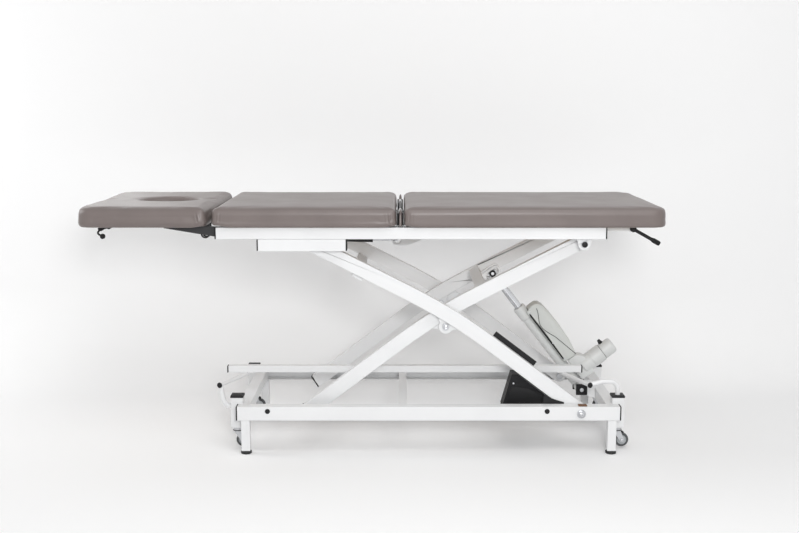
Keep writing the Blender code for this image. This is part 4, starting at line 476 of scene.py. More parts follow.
def make_hide_grain():
    """Pebbled grain of coated cloth with soft stretch marks."""
    tree, source, sink = shader_group("hide_grain", {"Pebble": 520.0, "Stretch": 7.0})
    cells = tree.nodes.new("ShaderNodeTexVoronoi")
    cells.feature = "SMOOTH_F1"
    cells.inputs["Smoothness"].default_value = 0.6
    tree.links.new(source.outputs["Place"], cells.inputs["Vector"])
    tree.links.new(source.outputs["Pebble"], cells.inputs["Scale"])
    fine = noise_in(tree, source, 900.0, 2.0)
    slow = noise_in(tree, source, "Stretch", 4.0, 0.55)
    pebbles = math_in(tree, "MULTIPLY", cells.outputs["Distance"], -0.8)
    height = math_in(tree, "ADD", pebbles, math_in(tree, "MULTIPLY", fine.outputs["Fac"], 0.35))
    height = math_in(tree, "ADD", height, math_in(tree, "MULTIPLY", slow.outputs["Fac"], 1.4))
    tree.links.new(height, sink.inputs["Height"])
    tree.links.new(slow.outputs["Fac"], sink.inputs["Tone"])
    return tree


def make_drawn_metal():
    """Fine drawn lines and plating clouds of bare metal."""
    tree, source, sink = shader_group("drawn_metal", {"Lines": 260.0, "Cloud": 40.0})
    squeeze = tree.nodes.new("ShaderNodeMapping")
    squeeze.inputs["Scale"].default_value = (1.0, 0.06, 1.0)
    tree.links.new(source.outputs["Place"], squeeze.inputs["Vector"])
    lines = tree.nodes.new("ShaderNodeTexNoise")
    lines.inputs["Detail"].default_value = 3.0
    tree.links.new(squeeze.outputs["Vector"], lines.inputs["Vector"])
    tree.links.new(source.outputs["Lines"], lines.inputs["Scale"])
    cloud = noise_in(tree, source, "Cloud", 4.0)
    tree.links.new(lines.outputs["Fac"], sink.inputs["Height"])
    tree.links.new(cloud.outputs["Fac"], sink.inputs["Tone"])
    return tree


# Powder coat has a fine ripple and a slow change of tone; plastic and rubber have a fine grain and dust
GROUPS = {
    "orange_peel": make_noise_pair("orange_peel", ("Ripple", 420.0, 2.0, 0.5), ("Cloud", 5.0, 3.0, 0.5)),
    "hide_grain": make_hide_grain(),
    "moulded_skin": make_noise_pair("moulded_skin", ("Grain", 900.0, 3.0, 0.7), ("Dust", 18.0, 5.0, 0.6)),
    "drawn_metal": make_drawn_metal(),
}


def set_inputs(node, values):
    for label, value in values.items():
        node.inputs[label].default_value = value


def finish_material(name, effect, pale, dark, roughness, bump, metallic=0.0, values=None, shine=0.5):
    """A finish whose colour and roughness drift between two tones, with an effect's relief on its skin."""
    material = bpy.data.materials.new(name)
    material.use_nodes = True
    tree = material.node_tree
    link = tree.links.new
    shader = tree.nodes["Principled BSDF"]
    place = tree.nodes.new("ShaderNodeTexCoord")
    skin = tree.nodes.new("ShaderNodeGroup")
    skin.node_tree = GROUPS[effect]
    set_inputs(skin, values or {})
    ramp = tree.nodes.new("ShaderNodeValToRGB")
    for element, position, tone in zip(ramp.color_ramp.elements, (0.35, 0.65), (dark, pale)):
        element.position = position
        element.color = (*tone, 1)
    spread = tree.nodes.new("ShaderNodeMapRange")
    set_inputs(spread, {"From Min": 0.3, "From Max": 0.7, "To Min": roughness[0], "To Max": roughness[1]})
    relief = tree.nodes.new("ShaderNodeBump")
    set_inputs(relief, {"Strength": bump[0], "Distance": bump[1]})
    set_inputs(shader, {"Metallic": metallic, "Specular IOR Level": shine})
    link(place.outputs["Object"], skin.inputs["Place"])
    link(skin.outputs["Tone"], ramp.inputs["Fac"])
    link(ramp.outputs["Color"], shader.inputs["Base Color"])
    link(skin.outputs["Tone"], spread.inputs["Value"])
    link(spread.outputs["Result"], shader.inputs["Roughness"])
    link(skin.outputs["Height"], relief.inputs["Height"])
    link(relief.outputs["Normal"], shader.inputs["Normal"])
    return material


white_coat = finish_material("white_powder_coat", "orange_peel", (0.84, 0.845, 0.85), (0.81, 0.815, 0.82),
                             (0.34, 0.42), (0.12, 0.0006))
black_coat = finish_material("black_powder_coat", "orange_peel", (0.022, 0.022, 0.024),
                             (0.014, 0.014, 0.016),
                             (0.36, 0.48), (0.2, 0.0006))
black_plastic = finish_material("black_plastic", "moulded_skin", (0.012, 0.012, 0.013),
                                (0.008, 0.008, 0.009),
                                (0.48, 0.62), (0.25, 0.0004), shine=0.28)
foot_rubber = finish_material("foot_rubber", "moulded_skin", (0.028, 0.028, 0.029), (0.016, 0.016, 0.016),
                              (0.7, 0.85), (0.3, 0.0006), values={"Grain": 600.0})
tyre_rubber = finish_material("tyre_rubber", "moulded_skin", (0.085, 0.088, 0.092), (0.055, 0.057, 0.06),
                              (0.55, 0.75), (0.3, 0.0006), values={"Grain": 700.0, "Dust": 60.0})
hub_plastic = finish_material("hub_plastic", "moulded_skin", (0.46, 0.48, 0.49), (0.38, 0.40, 0.41),
                              (0.38, 0.5), (0.15, 0.0004))
grey_shell = finish_material("grey_shell", "moulded_skin", (0.63, 0.645, 0.62), (0.59, 0.605, 0.58),
                             (0.42, 0.55), (0.2, 0.0005), values={"Dust": 9.0})
grey_cap = finish_material("grey_cap", "moulded_skin", (0.70, 0.71, 0.70), (0.65, 0.66, 0.65), (0.36, 0.46),
                           (0.15, 0.0004), values={"Dust": 9.0})
zinc = finish_material("zinc_plate", "drawn_metal", (0.62, 0.63, 0.65), (0.50, 0.51, 0.53), (0.28, 0.42),
                       (0.15, 0.0004), metallic=1.0)
steel = finish_material("ground_steel", "drawn_metal", (0.66, 0.67, 0.69), (0.58, 0.59, 0.61), (0.16, 0.26),
                        (0.08, 0.0003), metallic=1.0, values={"Lines": 420.0})
vinyl = finish_material("taupe_vinyl", "hide_grain", (0.190, 0.158, 0.149), (0.172, 0.142, 0.134),
                        (0.33, 0.41),
                        (0.22, 0.0007))
plywood = finish_material("birch_plywood", "drawn_metal", (0.52, 0.37, 0.22), (0.40, 0.27, 0.15),
                          (0.6, 0.75),
                          (0.2, 0.0006), values={"Lines": 90.0, "Cloud": 6.0})
cork_pad = finish_material("stop_pad", "drawn_metal", (0.20, 0.105, 0.06), (0.14, 0.07, 0.04), (0.6, 0.8),
                           (0.3, 0.0008), values={"Lines": 300.0, "Cloud": 60.0})


# Repeats along a path or on points

def repeat_tree(name, item):
    """A Geometry Nodes tree that sets an item on every point of a mesh, turned to the point's facing."""
    tree = bpy.data.node_groups.new(name, "GeometryNodeTree")
    tree.interface.new_socket(name="Geometry", in_out="INPUT", socket_type="NodeSocketGeometry")
    size = tree.interface.new_socket(name="Size", in_out="INPUT", socket_type="NodeSocketFloat")
    size.default_value = 1.0
    tree.interface.new_socket(name="Finish", in_out="INPUT", socket_type="NodeSocketMaterial")
    tree.interface.new_socket(name="Geometry", in_out="OUTPUT", socket_type="NodeSocketGeometry")
    source = tree.nodes.new("NodeGroupInput")
    sink = tree.nodes.new("NodeGroupOutput")
    spread = tree.nodes.new("GeometryNodeMeshToPoints")
    stored = {}
    for label in ("facing", "along"):
        stored[label] = tree.nodes.new("GeometryNodeInputNamedAttribute")
        stored[label].data_type = "FLOAT_VECTOR"
        stored[label].inputs["Name"].default_value = label
    turn = tree.nodes.new("FunctionNodeAlignRotationToVector")
    turn.axis = "Z"
    twist = tree.nodes.new("FunctionNodeAlignRotationToVector")
    twist.axis = "X"
    twist.pivot_axis = "Z"
    stock = tree.nodes.new("GeometryNodeObjectInfo")
    stock.inputs["Object"].default_value = item
    copies = tree.nodes.new("GeometryNodeInstanceOnPoints")
    real = tree.nodes.new("GeometryNodeRealizeInstances")
    coat = tree.nodes.new("GeometryNodeSetMaterial")
    link = tree.links.new
    link(source.outputs["Geometry"], spread.inputs["Mesh"])
    link(stored["facing"].outputs["Attribute"], turn.inputs["Vector"])
    link(turn.outputs["Rotation"], twist.inputs["Rotation"])
    link(stored["along"].outputs["Attribute"], twist.inputs["Vector"])
    link(spread.outputs["Points"], copies.inputs["Points"])
    link(stock.outputs["Geometry"], copies.inputs["Instance"])
    link(twist.outputs["Rotation"], copies.inputs["Rotation"])
    link(source.outputs["Size"], copies.inputs["Scale"])
    link(copies.outputs["Instances"], real.inputs["Geometry"])
    link(real.outputs["Geometry"], coat.inputs["Geometry"])
    link(source.outputs["Finish"], coat.inputs["Material"])
    link(coat.outputs["Geometry"], sink.inputs["Geometry"])
    return tree


def repeated(name, tree, spots, material, body, size=1.0):
    """Pieces from a repeat tree: spots are (place, facing, along) triples on one body."""
    mesh = bpy.data.meshes.new(name + "_spots")
    mesh.from_pydata([spot[0] for spot in spots], [], [])
    for number, label in ((1, "facing"), (2, "along")):
        attribute = mesh.attributes.new(label, "FLOAT_VECTOR", "POINT")
        flat = np.array([tuple(spot[number]) for spot in spots], np.float32).ravel()
        attribute.data.foreach_set("vector", flat)
    holder = placed(name + "_holder", mesh)
    modifier = holder.modifiers.new("repeat", "NODES")
    modifier.node_group = tree
    settings = {"Size": size, "Finish": material}
    for socket in tree.interface.items_tree:
        if socket.in_out == "INPUT" and socket.name in settings:
            modifier[socket.identifier] = settings[socket.name]
    plain = evaluated(holder)
    holder.modifiers.clear()
    bpy.data.objects.remove(holder, do_unlink=True)
    return dress(name, plain, material, body)


def stock_item(name, bm):
    """A small part kept out of the scene, for the repeat trees to copy."""
    mesh = mesh_of(name, bm)
    mesh.shade_smooth()
    mesh.set_sharp_from_angle(angle=math.radians(SMOOTH_ANGLE))
    return bpy.data.objects.new(name, mesh)


def socket_screw(radius, height, drive):
    """A button head with a six-sided socket, standing on z = 0."""
    bm = bmesh.new()
    steps = 24
    rows = [(radius, 0.0), (radius, 0.35 * height), (0.86 * radius, 0.8 * height), (0.62 * radius, height)]
    rings = []
    for reach, z in rows:
        rings.append([bm.verts.new((x, y, z)) for x, y in circle(reach, steps)])
    for z in (height, 0.45 * height):
        ring = []
        for i in range(steps):
            angle = 2 * math.pi * i / steps
            sector = (angle % (math.pi / 3)) - math.pi / 6
            reach = drive * math.cos(math.pi / 6) / math.cos(sector)
            ring.append(bm.verts.new((reach * math.cos(angle), reach * math.sin(angle), z)))
        rings.append(ring)
    skin_rings(bm, rings)
    bm.faces.new(list(reversed(rings[0])))
    bm.faces.new(rings[-1])
    bmesh.ops.recalc_face_normals(bm, faces=bm.faces)
    return bm


def staple():
    """The crown of one staple, lying on z = 0 along X."""
    bm = bmesh.new()
    box_into(bm, (-0.005, -0.0005, -0.0003), (0.005, 0.0005, 0.0006), 0.0002, 1)
    return bm


def ring_rib():
    """One raised ring round the z axis."""
    bm = bmesh.new()
    profile = [(0.85, -0.10), (1.0, -0.08), (1.06, 0.0), (1.0, 0.08), (0.85, 0.10), (0.85, -0.10)]
    lathe_into(bm, profile, (0, 0, 0), (0, 0, 1), 20)
    return bm


def weld_ripple():
    """One ripple of a weld, lying on z = 0 along X."""
    bm = bmesh.new()
    bmesh.ops.create_icosphere(bm, subdivisions=2, radius=1.0)
    bmesh.ops.transform(bm, matrix=Matrix.Diagonal((0.0030, 0.0034, 0.0022, 1)), verts=bm.verts)
    return bm


SCREWS = repeat_tree("set_screws", stock_item("socket_screw", socket_screw(1.0, 0.55, 0.5)))
STAPLES = repeat_tree("set_staples", stock_item("staple", staple()))
RIBS = repeat_tree("set_ribs", stock_item("ring_rib", ring_rib()))
WELDS = repeat_tree("set_welds", stock_item("weld_ripple", weld_ripple()))


# Pads

def pad_outline(section):
    """Points round a pad in plan; free ends have wide corners, joined ends narrow ones."""
    left, right = PAD_SPANS[section]
    half = PAD_WIDTH / 2
    free = {left: section == "head", right: section == "main"}
    outline = []
    for x, y, start in ((right, half, 0), (left, half, 90), (left, -half, 180), (right, -half, 270)):
        radius = PAD_CORNER if free[x] else JOINED_CORNER
        middle = (x - math.copysign(radius, x - (left + right) / 2), y - math.copysign(radius, y))
        outline += arc(middle, radius, start, start + 90, 12)
    return outline


def applied(thing):
    """Replaces an object's mesh by what its modifiers make."""
    mesh = evaluated(thing)
    old = thing.data
    thing.modifiers.clear()
    thing.data = mesh
    bpy.data.meshes.remove(old)
    return thing


def pad_form(section):
    """The foam of a pad before it is stuffed into its cover: a rounded slab, with a hole at the head."""
    bm = bmesh.new()
    outline = inset_outline(pad_outline(section), STUFFING)
    top = PAD_TOP - STUFFING
    rounded_plate_into(bm, outline, "Z", PAD_BOTTOM + GAP, top, PAD_LOW_EDGE, PAD_EDGE, 6)
    pad = loose(section + "_pad", bm)
    if section == "head":
        bm = bmesh.new()
        plate_into(bm, oval(FACE_HOLE, 64), "Z", PAD_BOTTOM - 0.02, PAD_TOP + 0.02, 0)
        hole = loose("face_cut", bm)
        cut = pad.modifiers.new("face", "BOOLEAN")
        cut.operation = "DIFFERENCE"
        cut.object = hole
        applied(pad)
        bpy.data.objects.remove(hole, do_unlink=True)
    return pad


def oval(size, count):
    x, length, width = size
    return [(x + length / 2 * c, width / 2 * s) for c, s in circle(1.0, count)]


def places_of(mesh):
    flat = np.zeros(len(mesh.vertices) * 3)
    mesh.vertices.foreach_get("co", flat)
    return flat.reshape(-1, 3)


def stuffed(pad):
    """Swells a pad like foam in tight cloth, held where it lies on its board."""
    remesh = pad.modifiers.new("even", "REMESH")
    remesh.mode = "VOXEL"
    remesh.voxel_size = VOXEL
    applied(pad)
    start = places_of(pad.data)
    held = pad.vertex_groups.new(name="held")
    low = [i for i, place in enumerate(start) if place[2] < PAD_BOTTOM + HELD_HEIGHT]
    held.add(low, 1.0, "REPLACE")
    cloth = pad.modifiers.new("stuffing", "CLOTH")
    settings = cloth.settings
    settings.use_pressure = True
    settings.uniform_pressure_force = PRESSURE
    settings.vertex_group_mass = "held"
    settings.effector_weights.gravity = 0.0
    settings.tension_stiffness = STIFFNESS
    settings.compression_stiffness = STIFFNESS
    settings.bending_stiffness = BENDING
    settings.quality = 3
    cloth.point_cache.frame_start = 1
    cloth.point_cache.frame_end = SIM_FRAMES
    scene = bpy.context.scene
    for number in range(1, SIM_FRAMES + 1):
        scene.frame_set(number)
    applied(pad)
    scene.frame_set(1)
    step = places_of(pad.data) - start
    length = np.linalg.norm(step, axis=1, keepdims=True)
    step *= np.minimum(1.0, SWELL_LIMIT / np.maximum(length, 1e-9))
    pad.data.vertices.foreach_set("co", (start + step).ravel())
    smooth = pad.modifiers.new("smooth", "SUBSURF")
    smooth.levels = 1
    smooth.render_levels = 1
    return applied(pad)


def within(value):
    """The value, kept between 0 and 1."""
    return min(1.0, max(0.0, value))


def tuck_and_crease(pad, section):
    """Draws the long sides in a little, creases the cover at the joined corners and lifts their tips."""
    left, right = PAD_SPANS[section]
    middle = (left + right) / 2
    reach = (right - left) / 2
    for vert in pad.data.vertices:
        x, y, z = vert.co
        way_x = math.copysign(1, x - middle)
        way_y = math.copysign(1, y)
        rise = within((z - PAD_BOTTOM) / (PAD_TOP - PAD_BOTTOM))
        from_end = reach - abs(x - middle)
        from_side = PAD_WIDTH / 2 - abs(y)
        if from_side < SIDE_BAND:
            draw = max(0.0, 1 - ((x - middle) / reach) ** 2) * (1 - from_side / SIDE_BAND)
            vert.co.y -= way_y * draw * (SIDE_DRAW + SIDE_BELLY * math.sin(2 * math.pi * rise))
        joined = section != ("head" if way_x < 0 else "main")
        if joined:
            corner = max(0.0, 1 - from_end / CREASE_REACH[0]) * max(0.0, 1 - from_side / CREASE_REACH[1])
            around = from_side - from_end
            wave = math.sin(around * CREASE_PITCH + 2.2 * rise + (0.8 if way_y > 0 else 0))
            crease = CREASE_DEPTH * wave * math.sin(math.pi * rise) ** 0.6 * corner
            on_end = within(0.5 + around / 0.016)
            vert.co.x += way_x * crease * on_end
            vert.co.y += way_y * crease * (1 - on_end)
            room = max(0.0, 1 - from_end / ARM_ROOM_REACH) if section == "middle" and way_x < 0 else 0.0
            vert.co.z += max(TIP_LIFT * corner, ARM_ROOM * min(1.0, 2 * room)) * (1 - rise) ** 2
        lump = noise.noise(Vector((x * 8, y * 8, z * 12)))
        vert.co.z += LUMPS * lump * within((rise - 0.25) * 2)
    pad.data.update()


def fold_into(bm, x, half, side):
    """Adds one upright fold of cover cloth in the gap between two pads, pinched at the long side."""
    made = bmesh.new()
    rows = 14
    steps = 16
    rings = []
    for k in range(rows + 1):
        share = k / rows
        y = side * (PAD_WIDTH / 2 - FOLD_SETBACK - FOLD_LENGTH * share)
        swell = half * (0.55 + 0.45 * min(1.0, 3 * share))
        height = PAD_TOP - 0.010 - 0.014 * max(0.0, 1 - 4 * share) - FOLD_BOTTOM
        sway = 0.0010 * math.sin(9 * share + x * 40)
        ring = []
        for i in range(steps + 1):
            turn = math.pi * i / steps
            z = FOLD_BOTTOM + height * math.sin(turn) ** 0.45
            ring.append(made.verts.new((x + sway - swell * math.cos(turn), y, z)))
        rings.append(ring)
    skin_rings(made, rings)
    made.faces.new(rings[0])
    made.faces.new(rings[-1])
    bmesh.ops.recalc_face_normals(made, faces=made.faces)
    merge_into(bm, made)


def make_folds():
    """Cover cloth, and near-black blocks in the rubber finish that paint the shade of the gap, between the
    middle and the main pad at both long sides.
    """
    bm = bmesh.new()
    for side in SIDES.values():
        fold_into(bm, *GAP_FOLD, side)
    fold = finished("middle_fold", bm, vinyl, "top", (), 60)
    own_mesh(fold)
    # Painted shade: near-black blocks stand in the gap where the pads' ends shade it, and hide the hinge
    # behind
    for section, span in GAP_SHADE_BLOCKS.items():
        bm = bmesh.new()
        for side in SIDES.values():
            low_y, high_y = reach_of(side, *GAP_SHADE_BLOCK_Y)
            box_into(bm, (span[0], low_y, PAD_BOTTOM + 0.004), (span[1], high_y, MAIN_HINGE_Z), 0.0010)
        finished(section + "_gap_stop", bm, foot_rubber, PAD_BODIES[section])


def make_pads():
    for section, body in PAD_BODIES.items():
        pad = stuffed(pad_form(section))
        tuck_and_crease(pad, section)
        mesh = pad.data
        mesh.materials.clear()
        mesh.materials.append(vinyl)
        mesh.shade_smooth()
        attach(pad, body)
        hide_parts(section + "_cushion")


def make_face_plug():
    """The low cushion that fills the face hole, with a rolled edge and a slight crown."""
    low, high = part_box("face_plug")
    bm = bmesh.new()
    size = (FACE_HOLE[0], high.x - low.x - 0.0008, high.y - low.y - 0.0008)
    roll = min(0.014, 0.6 * (high.z - low.z))
    rounded_plate_into(bm, oval(size, 64), "Z", low.z, high.z, 0.004, roll, 6)
    plug = finished("face_plug_pad", bm, vinyl, "face_plug", ("face_plug",), 60)


def staple_spots(section):
    """Staples round the cover's edge under a board."""
    left, right = PAD_SPANS[section]
    y = PAD_WIDTH / 2 - STAPLE_INSET
    z = PAD_BOTTOM - 0.0002
    spots = []
    for i in range(int((right - left - 0.2) / STAPLE_PITCH)):
        for side in SIDES.values():
            spots.append(((left + 0.1 + i * STAPLE_PITCH, side * y, z), (0, 0, -1), (1, 0, 0)))
    for i in range(9):
        for x in (left + STAPLE_INSET, right - STAPLE_INSET):
            spots.append(((x, -0.2 + 0.05 * i, z), (0, 0, -1), (0, 1, 0)))
    return spots


make_pads()
make_folds()
make_face_plug()
for section, body in PAD_BODIES.items():
    repeated(section + "_staples", STAPLES, staple_spots(section), steel, body)


# CAD shapes with their edges broken

def soften_all():
    """Puts softened copies in place of the CAD nodes that need no other form, and the boards' finish on."""
    softened("base_frame", white_coat, "base", 0.0012)
    softened("top_frame", white_coat, "top", 0.0010)
    softened("main_frame", white_coat, "main", 0.0012)
    softened("foot_bar", white_coat, "castor_lift", 0.0012)
    softened("actuator_bracket", white_coat, "base", 0.0010)
    softened("head_arms", black_coat, "head", 0.0008)
    softened("inner_arms", white_coat, "inner_arms", 0.0020, 3)
    softened("outer_arm_tie", white_coat, "outer_arms", 0.0020, 3)
    softened("arm_guard", black_plastic, "outer_arms", 0.0010)
    softened("base_guard", black_plastic, "base", 0.0012)
    softened("head_hinge_pin", black_coat, "top", 0.0006)
    softened("main_hinge_pin", black_coat, "top", 0.0006)
    softened("actuator_foot_pin", zinc, "base", 0.0008)
    softened("actuator_eye_pin", zinc, "actuator_rod", 0.0008)
    softened("actuator_rod", steel, "actuator_rod", 0.0006)
    softened("head_release_lever", black_plastic, "head_lever", 0.0010)
    for section in ("head", "main"):
        softened(section + "_spring_cylinder", black_coat, section + "_spring", 0.0010)
        softened(section + "_spring_rod", steel, section + "_spring_rod", 0.0004)
    for side in SIDES:
        softened("outer_arm_" + side, white_coat, "outer_arms", 0.0024, 3)
        softened("upper_roller_" + side, black_plastic, "upper_rollers", 0.0008)
        softened("lower_roller_" + side, black_plastic, "lower_rollers", 0.0008)
        softened("lower_pivot_bolt_" + side, zinc, "base", 0.0008)
        softened("upper_pivot_bolt_" + side, zinc, "top", 0.0008)
        softened("centre_bolt_" + side, zinc, "outer_arms", 0.0008)
        for end in ENDS:
            softened(f"castor_fork_{side}_{end}", zinc, f"castor_{side}_{end}", 0.0004)
    for end in ENDS:
        softened("castor_carrier_" + end, zinc, "castor_lift", 0.0008)
    for section in PAD_BODIES:
        nodes[section + "_board"].data.materials.clear()
        nodes[section + "_board"].data.materials.append(plywood)


soften_all()


# Black caps and plugs

def end_caps_into(bm, span, across, tall):
    """Adds a flat cap on both ends of a square tube along X."""
    for x, way in ((span[0], -1), (span[1], 1)):
        low_x, high_x = sorted((x + way * GAP, x + way * CAP))
        box_into(bm, (low_x, across[0], tall[0]), (high_x, across[1], tall[1]), 0.0015)


def make_caps():
    """Caps on the rails, tracks and posts, domes on the upper pivots and plugs in the base rails."""
    bm = bmesh.new()
    dome = [(0, 0), (0.0100, 0), (0.0100, 0.0022), (0.0088, 0.0042), (0.0055, 0.0054), (0, 0.0058)]
    outer = abs(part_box("upper_pivot_bolt_near")[0].y)
    for side in SIDES.values():
        across = reach_of(side, RAIL_OUTER, RAIL_OUTER - RAIL_WIDTH)
        end_caps_into(bm, TOP_RAIL, across, TOP_RAIL_Z)
        end_caps_into(bm, TRACK, across, (TRACK_Z[0] + 0.001, TRACK_Z[1] - 0.001))
        lathe_into(bm, dome, (FIXED_PIVOT_X, side * (outer + GAP), UPPER_PIVOT_Z), (0, side, 0))
    finished("upper_rail_caps", bm, black_plastic, "top")
    bm = bmesh.new()
    plug = [(0, 0), (0.0088, 0), (0.0088, 0.0012), (0.0078, 0.0024), (0.0040, 0.0030), (0, 0.0031)]
    for side in SIDES.values():
        end_caps_into(bm, BASE_RAIL, reach_of(side, RAIL_OUTER, RAIL_OUTER - RAIL_WIDTH), BASE_RAIL_Z)
        for x in RAIL_PLUGS:
            lathe_into(bm, plug, (x, side * (RAIL_OUTER + GAP), RAIL_PLUG_Z), (0, side, 0))
        for end in ENDS:
            hole = 0.0102 if side < 0 and end == "right" else 0.0
            place = (POSTS_X[end], side * POST_Y, POST_TOP + GAP)
            square_cap_into(bm, place, POST_SIDE / 2 + 0.0012, hole, 0.0075)
    finished("base_caps", bm, black_plastic, "base")


def square_cap_into(bm, place, half, hole, height):
    """Adds a square cap with rounded top edges, with a round hole through it where a tube passes."""
    made = bmesh.new()
    steps = 48
    rows = [(1.0, 0.0), (1.0, height * 0.7), (0.97, height * 0.92), (0.92, height)]
    if hole:
        rows = [(None, 0.0)] + rows + [(None, height)]
    rings = []
    for share, z in rows:
        ring = []
        for i in range(steps):
            angle = 2 * math.pi * i / steps
            reach = hole if share is None else half * share / max(abs(math.cos(angle)), abs(math.sin(angle)))
            ring.append(made.verts.new((reach * math.cos(angle), reach * math.sin(angle), z)))
        rings.append(ring)
    if hole:
        rings.append(rings[0])
    else:
        made.faces.new(rings[0])
        made.faces.new(rings[-1])
    skin_rings(made, rings)
    bmesh.ops.recalc_face_normals(made, faces=made.faces)
    bmesh.ops.translate(made, vec=Vector(place), verts=made.verts)
    merge_into(bm, made)


make_caps()


def make_foot_bar_caps():
    """Caps on the ends of the foot bar and plugs in the open tips of its slanted tubes."""
    bm = bmesh.new()
    half = 0.0125
    z = FOOT_TIP_Z + 0.009 + half - 0.003
    end_caps_into(bm, FOOT_BAR, (FOOT_BAR_Y - half, FOOT_BAR_Y + half), (z - half, z + half))
    plug = [(0, 0), (0.0098, 0), (0.0098, 0.003), (0.0080, 0.0052), (0, 0.0060)]
    for x, way in ((FOOT_TIPS[0], -1), (FOOT_TIPS[1], 1)):
        out = Vector((way * 0.40, -0.915, 0)).normalized()
        lathe_into(bm, plug, Vector((x, FOOT_TIP_Y, FOOT_TIP_Z)) + out * 0.0068, out)
    finished("foot_bar_caps", bm, black_plastic, "castor_lift")


make_foot_bar_caps()


def make_arm_ends():
    """Square ends with black caps at the lower left of the inner arms, and a stop pad on the near rail."""
    caps = bmesh.new()
    ends = bmesh.new()
    turn = Matrix.Rotation(-ARM_LEAN, 4, "Y")
    along = Vector((-math.cos(ARM_LEAN), 0, -math.sin(ARM_LEAN)))
    pivot = Vector((ROLLER_X, 0, LOWER_PIVOT_Z))
    rows = ((ends, 0.0160, (0.0150, 0.0296, 0.0496), 0.002, 3),
            (caps, 0.0262, (0.0045, 0.0306, 0.0506), 0.0015, 2))
    for side in SIDES.values():
        for bm, distance, size, edge, steps in rows:
            middle = pivot + along * distance
            middle.y = side * INNER_ARM_Y
            half = Vector(size) / 2
            box_into(bm, middle - half, middle + half, edge, steps, turn)
    finished("inner_arm_ends", ends, white_coat, "inner_arms")
    finished("inner_arm_caps", caps, black_plastic, "inner_arms")
    bm = bmesh.new()
    top = BASE_RAIL_Z[1]
    box_into(bm, (0.716, -0.296, top + GAP), (0.746, -0.272, top + 0.0036), 0.001)
    finished("rail_stop_pad", bm, cork_pad, "base")


make_arm_ends()


# Actuator

ACTUATOR_ALONG = (ACTUATOR_EYE - ACTUATOR_FOOT).normalized()
ACTUATOR_ACROSS = Vector((ACTUATOR_ALONG.z, 0, -ACTUATOR_ALONG.x))


def on_actuator(distance, offset=0.0, y=0.0):
    """A point so far up the actuator from its foot pin and so far to the side of its axis."""
    point = ACTUATOR_FOOT + ACTUATOR_ALONG * distance + ACTUATOR_ACROSS * offset
    return Vector((point.x, y, point.z))


def actuator_outline(pairs):
    """Points in x and z from distances up the actuator and to the side of its axis."""
    points = [on_actuator(distance, offset) for distance, offset in pairs]
    return [(point.x, point.z) for point in points]


